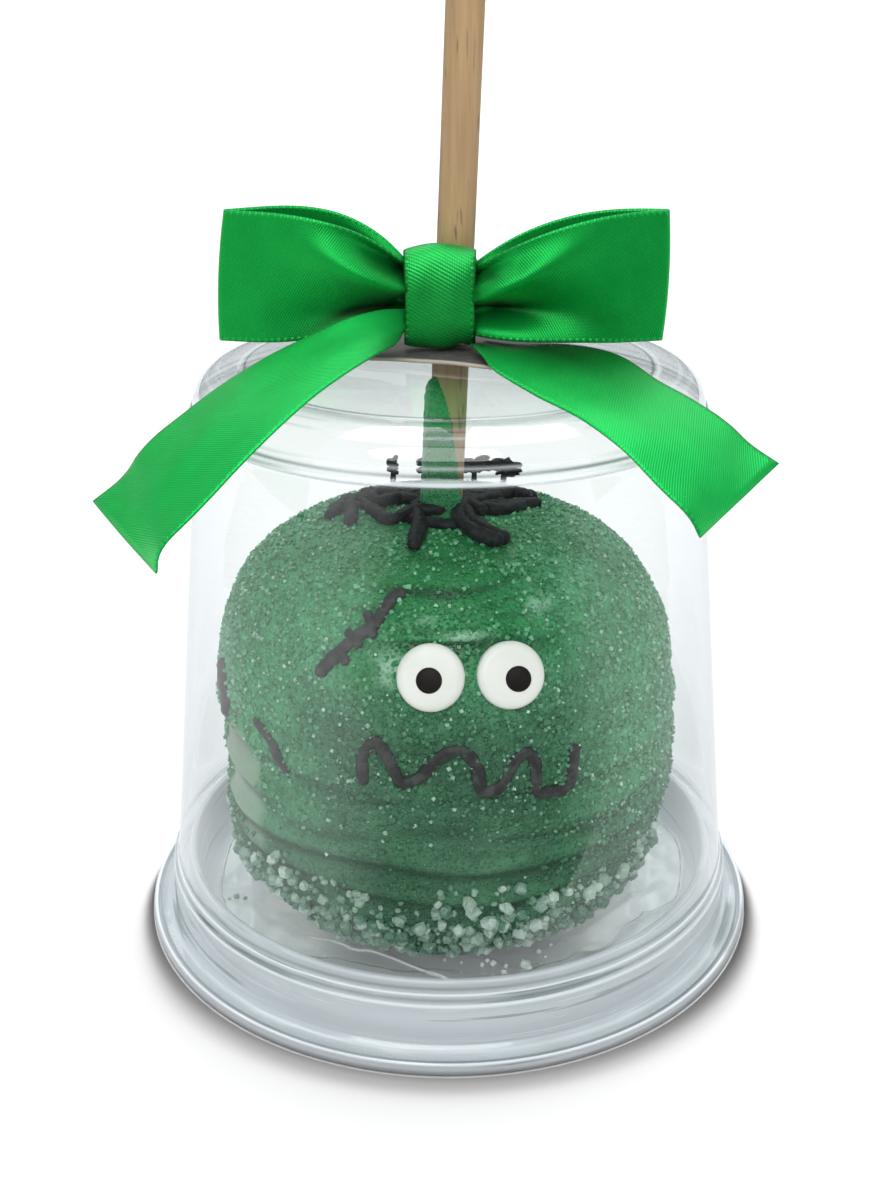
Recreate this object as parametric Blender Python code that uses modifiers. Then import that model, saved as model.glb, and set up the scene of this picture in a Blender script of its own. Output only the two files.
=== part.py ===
"""Candy apple in a clear gift pack.

A sugared green candy apple on a wooden stick stands on a sheet of clear film in a round
clear base. A clear dome closes over it, the stick comes out through the dome's top, and a
satin bow is tied to the stick above a small square of card.

Metres, +Z up. The origin is on the pack's axis, on the surface that the base stands on.
"""
import math
import random

import bmesh
import bpy
import numpy as np
from mathutils import Matrix, Vector, noise

MM = 0.001
GAP = 0.3 * MM                     # clearance between pieces that touch

# ---- base and dome -------------------------------------------------------------------
RIM_RADIUS = 54.0 * MM             # outer lip of the base, the widest part of the pack
SHEET_THICKNESS = 0.6 * MM         # clear plastic, base and dome alike
PLUG_RADIUS = 47.0 * MM            # raised ring of the base that the dome fits over
PLUG_HEIGHT = 12.4 * MM
PLUG_WIDTH = 2.2 * MM
LIP_HEIGHT = 1.3 * MM              # top of the base's lip
SKIRT_RADIUS = 49.7 * MM           # straight band at the foot of the dome
SKIRT_TOP = 10.2 * MM
WALL_FOOT_RADIUS = 48.9 * MM       # foot of the dome's tapered wall
WALL_FOOT_HEIGHT = 11.4 * MM
WALL_TOP_RADIUS = 41.0 * MM
BEAD_HEIGHT = 91.4 * MM            # small rib between the wall and the dome's cap
BEAD_PROUD = 0.8 * MM
CAP_RADIUS = 41.2 * MM
SHOULDER_ROUND = 5.8 * MM
CROWN_EDGE_RADIUS = 32.6 * MM      # crease round the top plate
CROWN_EDGE_HEIGHT = 98.2 * MM
CROWN_HEIGHT = 100.7 * MM          # top of the dome, beside the stick
HOLE_MARGIN = 0.9 * MM             # play between the stick and the dome's hole
CROWN_STEPS = 3
BEAD_SPREAD = 0.7 * MM             # half the height of the rib
LIP_FLARE = 1.0 * MM               # where the skirt turns out into the dome's lip
EDGE = 0.3 * MM                    # small rounding of the sheet's corners
TURN_STEPS = 40                    # sides of the turned pieces

# ---- stick ---------------------------------------------------------------------------
STICK_RADIUS = 2.95 * MM
STICK_LENGTH = 140.0 * MM
STICK_LEAN = math.radians(2.3)     # leans to +X as it rises
STICK_FOOT = Vector((-2.45 * MM, 0.0, 31.0 * MM))
STICK_SIDES = 20

# ---- apple ---------------------------------------------------------------------------
APPLE_CENTRE = Vector((-0.85 * MM, -0.9 * MM, 37.0 * MM))
APPLE_RADIUS = 39.0 * MM
APPLE_BOTTOM = 2.1 * MM
APPLE_TOP = 73.0 * MM
APPLE_FULLNESS_BELOW = 3.5         # exponents of the outline, 2 would be round
APPLE_FULLNESS_ABOVE = 3.0
APPLE_UNEVEN = 0.55 * MM
APPLE_SEGMENTS = 42
APPLE_RINGS = 26
FOLD_HEIGHTS = (14.5 * MM, 18.5 * MM, 23.0 * MM, 28.0 * MM)   # sagging ridges of the coating
FOLD_PROUD = 0.55 * MM
FOLD_WIDTH = 1.5 * MM
SLEEVE_RADIUS = 3.95 * MM          # coating that climbs the stick
SLEEVE_TOP = 96.0 * MM
SLEEVE_ROOT = 4.0 * MM             # how far it starts below the apple's top
SLEEVE_SHIFT = Vector((-3.0 * MM, 0.0, 0.0))
SLEEVE_HALF = (6.2 * MM, 9.0 * MM)

GRAIN_COUNT = 60
GRAIN_RADIUS = (0.95 * MM, 1.45 * MM)
GRAIN_BAND = (8.5 * MM, 24.0 * MM)
GRAIN_SEED = 7

# ---- icing ---------------------------------------------------------------------------
# Each stroke runs over the apple's skin. Front strokes give x and z, top strokes x and y.
ICING_RADIUS = 1.05 * MM
ICING_STEP = 2.8 * MM
ICING_SUNK = 0.25 * MM
ICING_LIFT = 0.35 * MM             # each top stroke lies this much over the one before
LOOP_SHARE = 0.75                  # thickness of the small loops, and of the side dab,
DAB_SHARE = 1.25                   # as shares of a stroke's
MOUTH = ((-13, 42.5), (-13, 47), (-11, 50), (-9, 47), (-7, 43.5), (-4, 45), (-2, 47.5),
         (1.5, 49), (4, 46.5), (5, 42.5), (8, 43), (10, 46.5), (12, 47.5), (13.2, 45),
         (13.4, 41), (16, 40.3), (18.5, 41), (19.2, 47.5))
BROW = ((-6, 69), (-8.5, 68.5), (-11.2, 65.5), (-13.7, 64), (-16, 62), (-19, 59), (-19.7, 57.5))
BROW_LOOPS = (((-12.5, 66.8), (-11.2, 63.8)), ((-15.6, 64.4), (-13.2, 62.4)),
              ((-17, 62), (-15.2, 60)))
CHEEK = ((-31, 47), (-28, 44.5), (-25, 40.5))
TOP_STROKES = (((-18, 5), (-9, 10), (0, 8.5), (9, 8), (16, 9)),
               ((-20, -1), (-17, 7), (-16, -6)),
               ((-15, 4), (-9, -6.5), (-5, 1), (3, -3), (14, 3)),
               ((-5, -3), (-4.8, -11), (-5.2, -17.5)),
               ((1, -4), (5, -9), (6.6, -16)),
               ((6, -4), (2, -10), (-1, -9), (2, -5), (9, -2)))
SIDE_HEIGHTS = (50.5, 47.5, 44.5)
SIDE_TURN = math.radians(-74)      # the dab on the apple's left side

# ---- candy eyes ----------------------------------------------------------------------
EYE_RADIUS = 5.1 * MM
EYE_THICKNESS = 3.2 * MM
EYE_ROUND = 1.2 * MM
EYE_SIDES = 22
EYE_SUNK = 1.3 * MM
EYE_TILT = math.radians(24)        # the faces look a little upwards
EYE_SPREAD = 0.55                  # how far each turns with the skin, 1 would be fully
PUPIL_RADIUS = 1.95 * MM
PUPIL_PROUD = 0.45 * MM
EYES = {                           # x and z of the centre, x and z shift of the pupil
    "candy_eye_left": (-2.7 * MM, 59.6 * MM, -0.2 * MM, -0.4 * MM),
    "candy_eye_right": (9.1 * MM, 59.4 * MM, 0.9 * MM, -0.6 * MM),
}

# ---- film under the apple ------------------------------------------------------------
FILM_THICKNESS = 0.35 * MM
FILM_HALF = 40.5 * MM
FILM_LEVEL = 1.15 * MM
FILM_CURL = 5.0 * MM
FILM_FLAT = 27.0 * MM              # it lies flat out to here
FILM_LIMIT = 43.6 * MM             # and stays inside the base's ring
FILM_RINGS = 6
FILM_TURNS = 28

# ---- card and ribbon -----------------------------------------------------------------
CARD_SIZE = (27.0 * MM, 25.0 * MM)
CARD_THICKNESS = 0.5 * MM
CARD_HEIGHT = 101.45 * MM
CARD_TURN = math.radians(-17)
CARD_BOW = 0.5 * MM
CARD_SHIFT = Vector((1.0 * MM, -1.2 * MM, 0.0))   # off the stick's axis
RIBBON_THICKNESS = 0.5 * MM
KNOT_CENTRE = Vector((-1.4 * MM, -6.3 * MM, 109.9 * MM))
KNOT_SIZE = (10.6 * MM, 6.9 * MM, 14.4 * MM)
TIE_RADIUS = 3.95 * MM             # the turn of ribbon that goes round the stick
TIE_HEIGHT = 9.0 * MM
KNOT_WAIST = 0.10                  # share the knot narrows at mid height
KNOT_CORNERS = 0.16                # share its corners draw back
LOOP_PLEAT = 0.45 * MM             # depth of the pleat beside the knot
LOOP_HALF_OUTER = 9.9 * MM         # half the ribbon's width at a loop's far end
LOOP_OPEN = 3.3 * MM               # half the depth of a loop where it opens widest
LOOP_PRESSED = 0.6 * MM            # and at the knot and the far crease
LOOP_STATIONS = 9
LOOP_ROWS = 4
LOOPS = {                          # knot side: x, height, half width; far end: x, height, slant
    "ribbon_loop_left": (-7.0 * MM, 112.0 * MM, 4.5 * MM, -34.2 * MM, 113.2 * MM, 0.9 * MM),
    "ribbon_loop_right": (4.3 * MM, 110.4 * MM, 5.6 * MM, 32.6 * MM, 113.2 * MM, 0.0),
}
TAIL_STEP = 5.0 * MM
TAILS = {                          # x, y, z and half width in mm, lean in degrees
    "ribbon_tail_left": ((-7.1, -8.9, 105.3, 2.0, -75), (-9.8, -13.8, 106.6, 4.8, -35),
                         (-13.8, -19.4, 106.6, 7.6, -4), (-21.3, -25.5, 104.1, 10.2, 4),
                         (-28.4, -30.4, 100.0, 10.5, -1), (-35.3, -34.3, 94.6, 10.5, -8),
                         (-41.1, -36.7, 88.9, 10.5, -16), (-46.3, -37.3, 82.4, 10.5, -31)),
    "ribbon_tail_right": ((4.8, -8.6, 103.3, 2.4, -4), (8.2, -11.6, 102.8, 4.8, 0),
                          (12.2, -15.0, 102.3, 7.5, 3), (18.7, -20.4, 101.4, 10.2, 3),
                          (25.0, -25.6, 99.5, 10.5, 2), (30.9, -30.0, 96.4, 10.5, 6),
                          (36.3, -33.2, 92.1, 10.5, 15), (41.6, -34.9, 87.1, 10.5, 28)),
}


# ---- shared helpers ------------------------------------------------------------------
def clear_scene():
    """Remove every object of the open scene."""
    for item in list(bpy.data.objects):
        bpy.data.objects.remove(item, do_unlink=True)


def new_collection(name):
    group = bpy.data.collections.new(name)
    bpy.context.scene.collection.children.link(group)
    return group


def new_material(name, colour, roughness):
    material = bpy.data.materials.new(name)
    material.use_nodes = True
    shader = material.node_tree.nodes["Principled BSDF"]
    shader.inputs["Base Color"].default_value = (*colour, 1.0)
    shader.inputs["Roughness"].default_value = roughness
    return material


def add_object(name, mesh, group, material=None):
    item = bpy.data.objects.new(name, mesh)
    group.objects.link(item)
    if material is not None:
        mesh.materials.append(material)
    return item


def mesh_from_bmesh(name, shape, smooth=True):
    bmesh.ops.recalc_face_normals(shape, faces=shape.faces)
    mesh = bpy.data.meshes.new(name)
    shape.to_mesh(mesh)
    shape.free()
    if smooth:
        mesh.shade_smooth()
        mesh.set_sharp_from_angle(angle=math.radians(35))
    return mesh


def hide_cutter(item):
    item.hide_render = True
    item.display_type = "WIRE"


def boolean(item, operation, other=None, group=None):
    """Join or cut an object with another object, or with all of a collection."""
    step = item.modifiers.new(operation.title(), "BOOLEAN")
    step.operation = operation
    step.solver = "EXACT"
    if group is not None:
        step.operand_type = "COLLECTION"
        step.collection = group
    else:
        step.object = other
    return step


def evaluated_copy(item, name):
    """A mesh of the object as its modifiers leave it, in world space."""
    graph = bpy.context.evaluated_depsgraph_get()
    graph.update()
    mesh = bpy.data.meshes.new_from_object(item.evaluated_get(graph))
    mesh.name = name
    mesh.transform(item.matrix_world)
    return mesh


def arc(centre, radius, start, end, count):
    """Points of an arc in the (radius, height) plane, angles in degrees from straight up."""
    points = []
    for step in range(count + 1):
        angle = math.radians(start + (end - start) * step / count)
        points.append((centre[0] + radius * math.sin(angle), centre[1] + radius * math.cos(angle)))
    return points


def shell_outline(outer, thickness):
    """Close an outline by running back along its inner side, a sheet's thickness away."""
    inner = []
    for index, (x, z) in enumerate(outer):
        before = outer[max(index - 1, 0)]
        after = outer[min(index + 1, len(outer) - 1)]
        run = Vector((after[0] - before[0], after[1] - before[1])).normalized()
        inner.append((x + run.y * thickness, z - run.x * thickness))
    return list(outer) + inner[::-1]


def turned(name, outline, group, material, closed):
    """Turn an outline of (radius, height) points about the pack's axis."""
    mesh = bpy.data.meshes.new(name)
    edges = [(i, i + 1) for i in range(len(outline) - 1)]
    if closed:
        edges.append((len(outline) - 1, 0))
    mesh.from_pydata([(x, 0.0, z) for x, z in outline], edges, [])
    item = add_object(name, mesh, group, material)
    turn = item.modifiers.new("Turn", "SCREW")
    turn.axis = "Z"
    turn.steps = TURN_STEPS
    turn.render_steps = TURN_STEPS
    turn.use_merge_vertices = True
    turn.merge_threshold = 0.00001
    turn.use_smooth_shade = False
    return item


def smooth_route(points, spacing):
    """Points about a spacing apart along a smooth curve, with any values beyond x, y, z."""
    points = np.array([tuple(p) for p in points], dtype=float)
    ends = (2 * points[0] - points[1], 2 * points[-1] - points[-2])
    padded = np.vstack([ends[0], points, ends[1]])
    route = []
    for p0, p1, p2, p3 in zip(padded, padded[1:], padded[2:], padded[3:]):
        pieces = max(1, round(float(np.linalg.norm((p2 - p1)[:3])) / spacing))
        for t in np.arange(pieces) / pieces:
            route.append(0.5 * (2 * p1 + (p2 - p0) * t + (2 * p0 - 5 * p1 + 4 * p2 - p3) * t * t
                                + (3 * p1 - 3 * p2 + p3 - p0) * t ** 3))
    route.append(points[-1])
    return route


def stick_point(height):
    """A point of the stick's axis at a height."""
    rise = height - STICK_FOOT.z
    return Vector((STICK_FOOT.x + rise * math.tan(STICK_LEAN), STICK_FOOT.y, height))


def stick_cylinder(radius, low, high, sides):
    """A bmesh cylinder round the stick's axis, between two heights."""
    shape = bmesh.new()
    depth = (high - low) / math.cos(STICK_LEAN)
    bmesh.ops.create_cone(shape, cap_ends=True, segments=sides, radius1=radius, radius2=radius,
                          depth=depth)
    middle = stick_point((low + high) / 2)
    place = Matrix.Translation(middle) @ Matrix.Rotation(STICK_LEAN, 4, "Y")
    bmesh.ops.transform(shape, matrix=place, verts=shape.verts)
    return shape


# ---- apple surface -------------------------------------------------------------------
def superellipse(angle):
    """Radius and height of the apple's outline at an angle from its equator."""
    below = angle < 0
    fullness = APPLE_FULLNESS_BELOW if below else APPLE_FULLNESS_ABOVE
    reach = APPLE_CENTRE.z - APPLE_BOTTOM if below else APPLE_TOP - APPLE_CENTRE.z
    across = abs(math.cos(angle)) ** (2 / fullness)
    along = math.copysign(abs(math.sin(angle)) ** (2 / fullness), angle)
    return APPLE_RADIUS * across, APPLE_CENTRE.z + reach * along


def apple_radius(height):
    """Distance of the plain apple's skin from its axis at a height."""
    below = height < APPLE_CENTRE.z
    fullness = APPLE_FULLNESS_BELOW if below else APPLE_FULLNESS_ABOVE
    reach = APPLE_CENTRE.z - APPLE_BOTTOM if below else APPLE_TOP - APPLE_CENTRE.z
    share = min(abs(height - APPLE_CENTRE.z) / reach, 1.0)
    return APPLE_RADIUS * (1 - share ** fullness) ** (1 / fullness)


def apple_height(distance):
    """Height of the apple's upper skin at a distance from its axis."""
    share = min(distance / APPLE_RADIUS, 1.0)
    reach = APPLE_TOP - APPLE_CENTRE.z
    return APPLE_CENTRE.z + reach * (1 - share ** APPLE_FULLNESS_ABOVE) ** (1 / APPLE_FULLNESS_ABOVE)


def unevenness(direction, radius, height):
    """How far the skin stands off its plain outline: lumps, and folds that sagged."""
    lumps = APPLE_UNEVEN * noise.noise(direction * 2.3 + Vector((3.1, 0.7, 5.2)))
    folds = 0.0
    for number, level in enumerate(FOLD_HEIGHTS):
        drift = 2.2 * MM * noise.noise(Vector((direction.x * 1.6, direction.y * 1.6, 4.0 * number)))
        offset = (height - level - drift) / FOLD_WIDTH
        folds += FOLD_PROUD * math.exp(-offset * offset)
    return lumps + folds * min(radius / APPLE_RADIUS, 1.0)


def front_point(x, z, sunk=0.0):
    """A point on the apple's front skin at x and z, sunk below it."""
    radius = apple_radius(z) - sunk
    side = x - APPLE_CENTRE.x
    return Vector((x, APPLE_CENTRE.y - math.sqrt(max(radius * radius - side * side, 0.0)), z))


def top_point(x, y, sunk=0.0):
    """A point on the apple's top skin at x and y, sunk below it."""
    distance = math.hypot(x - APPLE_CENTRE.x, y - APPLE_CENTRE.y)
    return Vector((x, y, apple_height(distance) - sunk))


# ---- pieces --------------------------------------------------------------------------
def make_base(group, material):
    """The tray: floor, raised plug ring and wide lip, one turned sheet of plastic."""
    floor = SHEET_THICKNESS
    inner = PLUG_RADIUS - PLUG_WIDTH
    outline = [(0.0, floor), (inner - 3 * EDGE, floor), (inner, floor + 3 * EDGE),
               (inner + EDGE, PLUG_HEIGHT - 2 * EDGE), (inner + 3 * EDGE, PLUG_HEIGHT),
               (PLUG_RADIUS - 2 * EDGE, PLUG_HEIGHT), (PLUG_RADIUS, PLUG_HEIGHT - 2 * EDGE),
               (PLUG_RADIUS + EDGE, LIP_HEIGHT), (RIM_RADIUS - 4 * EDGE, LIP_HEIGHT),
               (RIM_RADIUS - EDGE, LIP_HEIGHT - EDGE), (RIM_RADIUS, LIP_HEIGHT / 2),
               (RIM_RADIUS - EDGE, EDGE / 2), (RIM_RADIUS - 4 * EDGE, 0.0), (0.0, 0.0)]
    return turned("base_tray", outline, group, material, closed=False)


def dome_outer():
    """The dome's outer side, from the stick's hole down to the lip on the base."""
    hole = STICK_RADIUS + HOLE_MARGIN
    crown = []
    for step in range(CROWN_STEPS + 1):
        share = step / CROWN_STEPS
        radius = hole + (CROWN_EDGE_RADIUS - hole) * share
        crown.append((radius, CROWN_HEIGHT - (CROWN_HEIGHT - CROWN_EDGE_HEIGHT) * share ** 2))
    arc_centre = (CAP_RADIUS - SHOULDER_ROUND, CROWN_EDGE_HEIGHT - SHOULDER_ROUND)
    lip = LIP_HEIGHT + GAP + SHEET_THICKNESS
    return (crown + arc(arc_centre, SHOULDER_ROUND, 0, 90, 5)
            + [(CAP_RADIUS, BEAD_HEIGHT + BEAD_SPREAD), (CAP_RADIUS + BEAD_PROUD, BEAD_HEIGHT),
               (WALL_TOP_RADIUS, BEAD_HEIGHT - BEAD_SPREAD), (WALL_FOOT_RADIUS, WALL_FOOT_HEIGHT),
               (SKIRT_RADIUS, SKIRT_TOP), (SKIRT_RADIUS, lip + LIP_FLARE),
               (SKIRT_RADIUS + LIP_FLARE, lip), (RIM_RADIUS - 3 * EDGE, lip)])


def make_dome(group, material):
    """The clear cover, one turned sheet with a hole for the stick."""
    outline = shell_outline(dome_outer(), SHEET_THICKNESS)
    return turned("dome", outline, group, material, closed=True)


def make_stick(group, material):
    """A round wooden stick with slightly eased ends."""
    top = STICK_FOOT.z + STICK_LENGTH * math.cos(STICK_LEAN)
    shape = stick_cylinder(STICK_RADIUS, STICK_FOOT.z, top, STICK_SIDES)
    item = add_object("stick", mesh_from_bmesh("stick", shape), group, material)
    ease = item.modifiers.new("Ease", "BEVEL")
    ease.width = 0.4 * MM
    ease.segments = 1
    ease.limit_method = "ANGLE"
    ease.angle_limit = math.radians(50)
    return item


def apple_body():
    """The coated apple without its toppings."""
    shape = bmesh.new()
    bmesh.ops.create_uvsphere(shape, u_segments=APPLE_SEGMENTS, v_segments=APPLE_RINGS, radius=1.0)
    for vertex in shape.verts:
        direction = vertex.co.normalized()
        angle = math.asin(max(-1.0, min(1.0, direction.z)))
        radius, height = superellipse(angle)
        turn = math.atan2(direction.y, direction.x)
        radius += unevenness(direction, radius, height) * math.cos(angle)
        vertex.co = (APPLE_CENTRE.x + radius * math.cos(turn),
                     APPLE_CENTRE.y + radius * math.sin(turn), height)
    return mesh_from_bmesh("apple", shape)


def icing_tube(points, radius, group):
    """A piped stroke of icing as a closed tube along points."""
    curve = bpy.data.curves.new("icing", "CURVE")
    curve.dimensions = "3D"
    curve.bevel_depth = radius
    curve.bevel_resolution = 1
    curve.use_fill_caps = True
    route = smooth_route(points, ICING_STEP)
    line = curve.splines.new("POLY")
    line.points.add(len(route) - 1)
    for spot, place in zip(line.points, route):
        spot.co = (*place, 1.0)
    line.points[0].radius = 0.7
    line.points[-1].radius = 0.6
    guide = bpy.data.objects.new("icing_route", curve)
    group.objects.link(guide)
    mesh = evaluated_copy(guide, "icing")
    bpy.data.objects.remove(guide, do_unlink=True)
    shape = bmesh.new()
    shape.from_mesh(mesh)
    bpy.data.meshes.remove(mesh)
    bmesh.ops.remove_doubles(shape, verts=shape.verts, dist=0.01 * MM)
    return add_object("icing", mesh_from_bmesh("icing", shape), group)


def add_icing(group):
    """Mouth, brow, side dabs and the scribble of icing on top."""
    for strokes, share in (((MOUTH, BROW, CHEEK), 1.0), (BROW_LOOPS, LOOP_SHARE)):
        for stroke in strokes:
            points = [front_point(x * MM, z * MM, ICING_SUNK) for x, z in stroke]
            icing_tube(points, ICING_RADIUS * share, group)
    for number, stroke in enumerate(TOP_STROKES):
        sunk = ICING_SUNK - ICING_LIFT * number
        points = [top_point(x * MM, y * MM, sunk) for x, y in stroke]
        icing_tube(points, ICING_RADIUS, group)
    side = []
    for height in SIDE_HEIGHTS:
        radius = apple_radius(height * MM) - ICING_SUNK
        side.append(Vector((APPLE_CENTRE.x + radius * math.sin(SIDE_TURN),
                            APPLE_CENTRE.y - radius * math.cos(SIDE_TURN), height * MM)))
    icing_tube(side, ICING_RADIUS * DAB_SHARE, group)


def add_grains(group):
    """Coarse sugar crystals round the foot, spread by the golden angle."""
    draw = random.Random(GRAIN_SEED)
    golden = math.pi * (3 - math.sqrt(5))
    for number in range(GRAIN_COUNT):
        turn = number * golden + draw.uniform(-0.1, 0.1)
        low, high = GRAIN_BAND
        height = low + (high - low) * draw.random() ** 1.4
        size = draw.uniform(*GRAIN_RADIUS)
        radius = apple_radius(height) + FOLD_PROUD * 0.3
        shape = bmesh.new()
        bmesh.ops.create_icosphere(shape, subdivisions=1, radius=size)
        spin = Matrix.Rotation(draw.uniform(0, math.tau), 4, "Z")
        tip = Matrix.Rotation(draw.uniform(0, math.pi), 4, "X")
        place = Matrix.Translation((APPLE_CENTRE.x + radius * math.cos(turn),
                                    APPLE_CENTRE.y + radius * math.sin(turn), height))
        bmesh.ops.transform(shape, matrix=place @ spin @ tip, verts=shape.verts)
        add_object("grain", mesh_from_bmesh("grain", shape, smooth=False), group)


def add_sleeve(group, cutters):
    """Coating that climbs one side of the stick, ending in a rounded tongue."""
    low = APPLE_TOP - SLEEVE_ROOT
    sleeve = add_object("sleeve", mesh_from_bmesh(
        "sleeve", stick_cylinder(SLEEVE_RADIUS, low, SLEEVE_TOP + MM, STICK_SIDES)), group)
    shape = bmesh.new()
    bmesh.ops.create_uvsphere(shape, u_segments=20, v_segments=14, radius=1.0)
    place = Matrix.Translation(stick_point(low) + SLEEVE_SHIFT)
    stretch = Matrix.Diagonal((*SLEEVE_HALF, SLEEVE_TOP - low, 1.0))
    bmesh.ops.transform(shape, matrix=place @ stretch, verts=shape.verts)
    bounds = add_object("sleeve_bounds", mesh_from_bmesh("sleeve_bounds", shape), cutters)
    trim = boolean(sleeve, "INTERSECT", other=bounds)
    mesh = evaluated_copy(sleeve, "sleeve")
    sleeve.modifiers.remove(trim)
    sleeve.data = mesh
    bpy.data.objects.remove(bounds, do_unlink=True)


def eye_frame(x, z):
    """Matrix of a candy eye: its origin on the skin, its +Z away from the apple."""
    spot = front_point(x, z)
    turn = math.atan2(spot.x - APPLE_CENTRE.x, -(spot.y - APPLE_CENTRE.y))
    tilt = Matrix.Rotation(math.pi / 2 - EYE_TILT, 4, "X")
    return Matrix.Translation(spot) @ Matrix.Rotation(turn * EYE_SPREAD, 4, "Z") @ tilt


def make_eye(name, x, z, pupil_x, pupil_z, group, cutters, material):
    """A candy eye: a disc with a rounded edge and a raised pupil, sunk in the coating."""
    frame = eye_frame(x, z)
    front = EYE_THICKNESS - EYE_SUNK
    outline = ([(0.0, front), (EYE_RADIUS - EYE_ROUND, front)]
               + arc((EYE_RADIUS - EYE_ROUND, front - EYE_ROUND), EYE_ROUND, 0, 90, 2)[1:]
               + [(EYE_RADIUS, -EYE_SUNK + 0.3 * MM), (EYE_RADIUS - 0.3 * MM, -EYE_SUNK),
                  (0.0, -EYE_SUNK)])
    item = turned(name, outline, group, material, closed=False)
    item.modifiers["Turn"].steps = EYE_SIDES
    item.modifiers["Turn"].render_steps = EYE_SIDES
    shape = bmesh.new()
    bmesh.ops.create_cone(shape, cap_ends=True, segments=16, radius1=PUPIL_RADIUS,
                          radius2=PUPIL_RADIUS * 0.8, depth=PUPIL_PROUD * 2)
    place = Matrix.Translation((pupil_x, pupil_z, front))
    bmesh.ops.transform(shape, matrix=place, verts=shape.verts)
    pupil = add_object(name + "_pupil", mesh_from_bmesh("pupil", shape), cutters)
    boolean(item, "UNION", other=pupil)
    item.matrix_world = frame
    pupil.matrix_world = frame
    hide_cutter(pupil)
    return item


def eye_pocket(x, z, cutters):
    """The hollow in the coating that a candy eye sits in."""
    shape = bmesh.new()
    depth = 12 * MM
    bmesh.ops.create_cone(shape, cap_ends=True, segments=24, radius1=EYE_RADIUS + GAP * 1.4,
                          radius2=EYE_RADIUS + GAP * 1.4, depth=depth)
    lift = Matrix.Translation((0.0, 0.0, depth / 2 - EYE_SUNK - GAP))
    bmesh.ops.transform(shape, matrix=eye_frame(x, z) @ lift, verts=shape.verts)
    pocket = add_object("eye_pocket", mesh_from_bmesh("eye_pocket", shape), cutters)
    hide_cutter(pocket)
    return pocket


def make_apple(group, cutters, material):
    """The apple with its coating, crystals and icing fused into one solid."""
    toppings = new_collection("toppings")
    apple = add_object("apple", apple_body(), group, material)
    add_icing(toppings)
    add_grains(toppings)
    add_sleeve(toppings, cutters)
    boolean(apple, "UNION", group=toppings)
    apple.data = evaluated_copy(apple, "apple")
    apple.modifiers.clear()
    for item in list(toppings.objects):
        bpy.data.objects.remove(item, do_unlink=True)
    bpy.data.collections.remove(toppings)
    bore = add_object("stick_bore", mesh_from_bmesh("stick_bore", stick_cylinder(
        STICK_RADIUS + GAP, STICK_FOOT.z - GAP, SLEEVE_TOP + 10 * MM, STICK_SIDES)), cutters)
    hide_cutter(bore)
    boolean(apple, "DIFFERENCE", other=bore)
    for x, z, _, _ in EYES.values():
        boolean(apple, "DIFFERENCE", other=eye_pocket(x, z, cutters))
    return apple


def film_reach(turn):
    """Distance from the axis to the film's edge: a cut square with soft corners."""
    square = FILM_HALF / (abs(math.cos(turn)) ** 5 + abs(math.sin(turn)) ** 5) ** 0.2
    wobble = 1.0 + 0.03 * math.sin(3 * turn + 0.7) + 0.02 * math.sin(7 * turn + 2.0)
    return min(square * wobble, FILM_LIMIT)


def film_height(turn, distance):
    """The film's level: flat under the apple, creased and curling towards its edge."""
    lift = max(0.0, (distance - FILM_FLAT) / (FILM_LIMIT - FILM_FLAT))
    crease = 0.5 + 0.3 * math.sin(5 * turn + 0.4) + 0.2 * math.sin(9 * turn + 1.9)
    return FILM_LEVEL + FILM_CURL * lift ** 1.6 * crease


def make_film(group, material):
    """A thin creased sheet of clear film between the apple and the base."""
    shape = bmesh.new()
    centre = shape.verts.new((0.0, 0.0, FILM_LEVEL))
    rings = []
    for ring in range(1, FILM_RINGS + 1):
        share = (ring / FILM_RINGS) ** 0.7
        row = []
        for step in range(FILM_TURNS):
            turn = math.tau * step / FILM_TURNS
            distance = film_reach(turn) * share
            row.append(shape.verts.new((distance * math.cos(turn), distance * math.sin(turn),
                                        film_height(turn, distance))))
        rings.append(row)
    for step in range(FILM_TURNS):
        after = (step + 1) % FILM_TURNS
        shape.faces.new((centre, rings[0][step], rings[0][after]))
        for inner, outer in zip(rings, rings[1:]):
            shape.faces.new((inner[step], outer[step], outer[after], inner[after]))
    bmesh.ops.triangulate(shape, faces=shape.faces)
    item = add_object("film_sheet", mesh_from_bmesh("film_sheet", shape), group, material)
    thicken(item, FILM_THICKNESS)
    return item


def thicken(item, thickness):
    """Give an open sheet its thickness, half to each side."""
    solid = item.modifiers.new("Thickness", "SOLIDIFY")
    solid.thickness = thickness
    solid.offset = 0.0
    solid.use_even_offset = True


def make_card(group, cutters, material):
    """The small square of card on the dome, bowed a little, threaded by the stick."""
    shape = bmesh.new()
    bmesh.ops.create_grid(shape, x_segments=8, y_segments=4, size=0.5)
    width, depth = CARD_SIZE
    for vertex in shape.verts:
        across = vertex.co.x * 2
        vertex.co = (vertex.co.x * width, vertex.co.y * depth, -CARD_BOW * across * across)
    place = Matrix.Translation(stick_point(CARD_HEIGHT) + CARD_SHIFT)
    turn = Matrix.Rotation(CARD_TURN, 4, "Z")
    bmesh.ops.transform(shape, matrix=place @ turn, verts=shape.verts)
    item = add_object("card_square", mesh_from_bmesh("card_square", shape), group, material)
    thicken(item, CARD_THICKNESS)
    hole = add_object("card_hole", mesh_from_bmesh("card_hole", stick_cylinder(
        STICK_RADIUS + GAP, CARD_HEIGHT - 4 * MM, CARD_HEIGHT + 4 * MM, STICK_SIDES)), cutters)
    hide_cutter(hole)
    boolean(item, "DIFFERENCE", other=hole)
    return item


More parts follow.
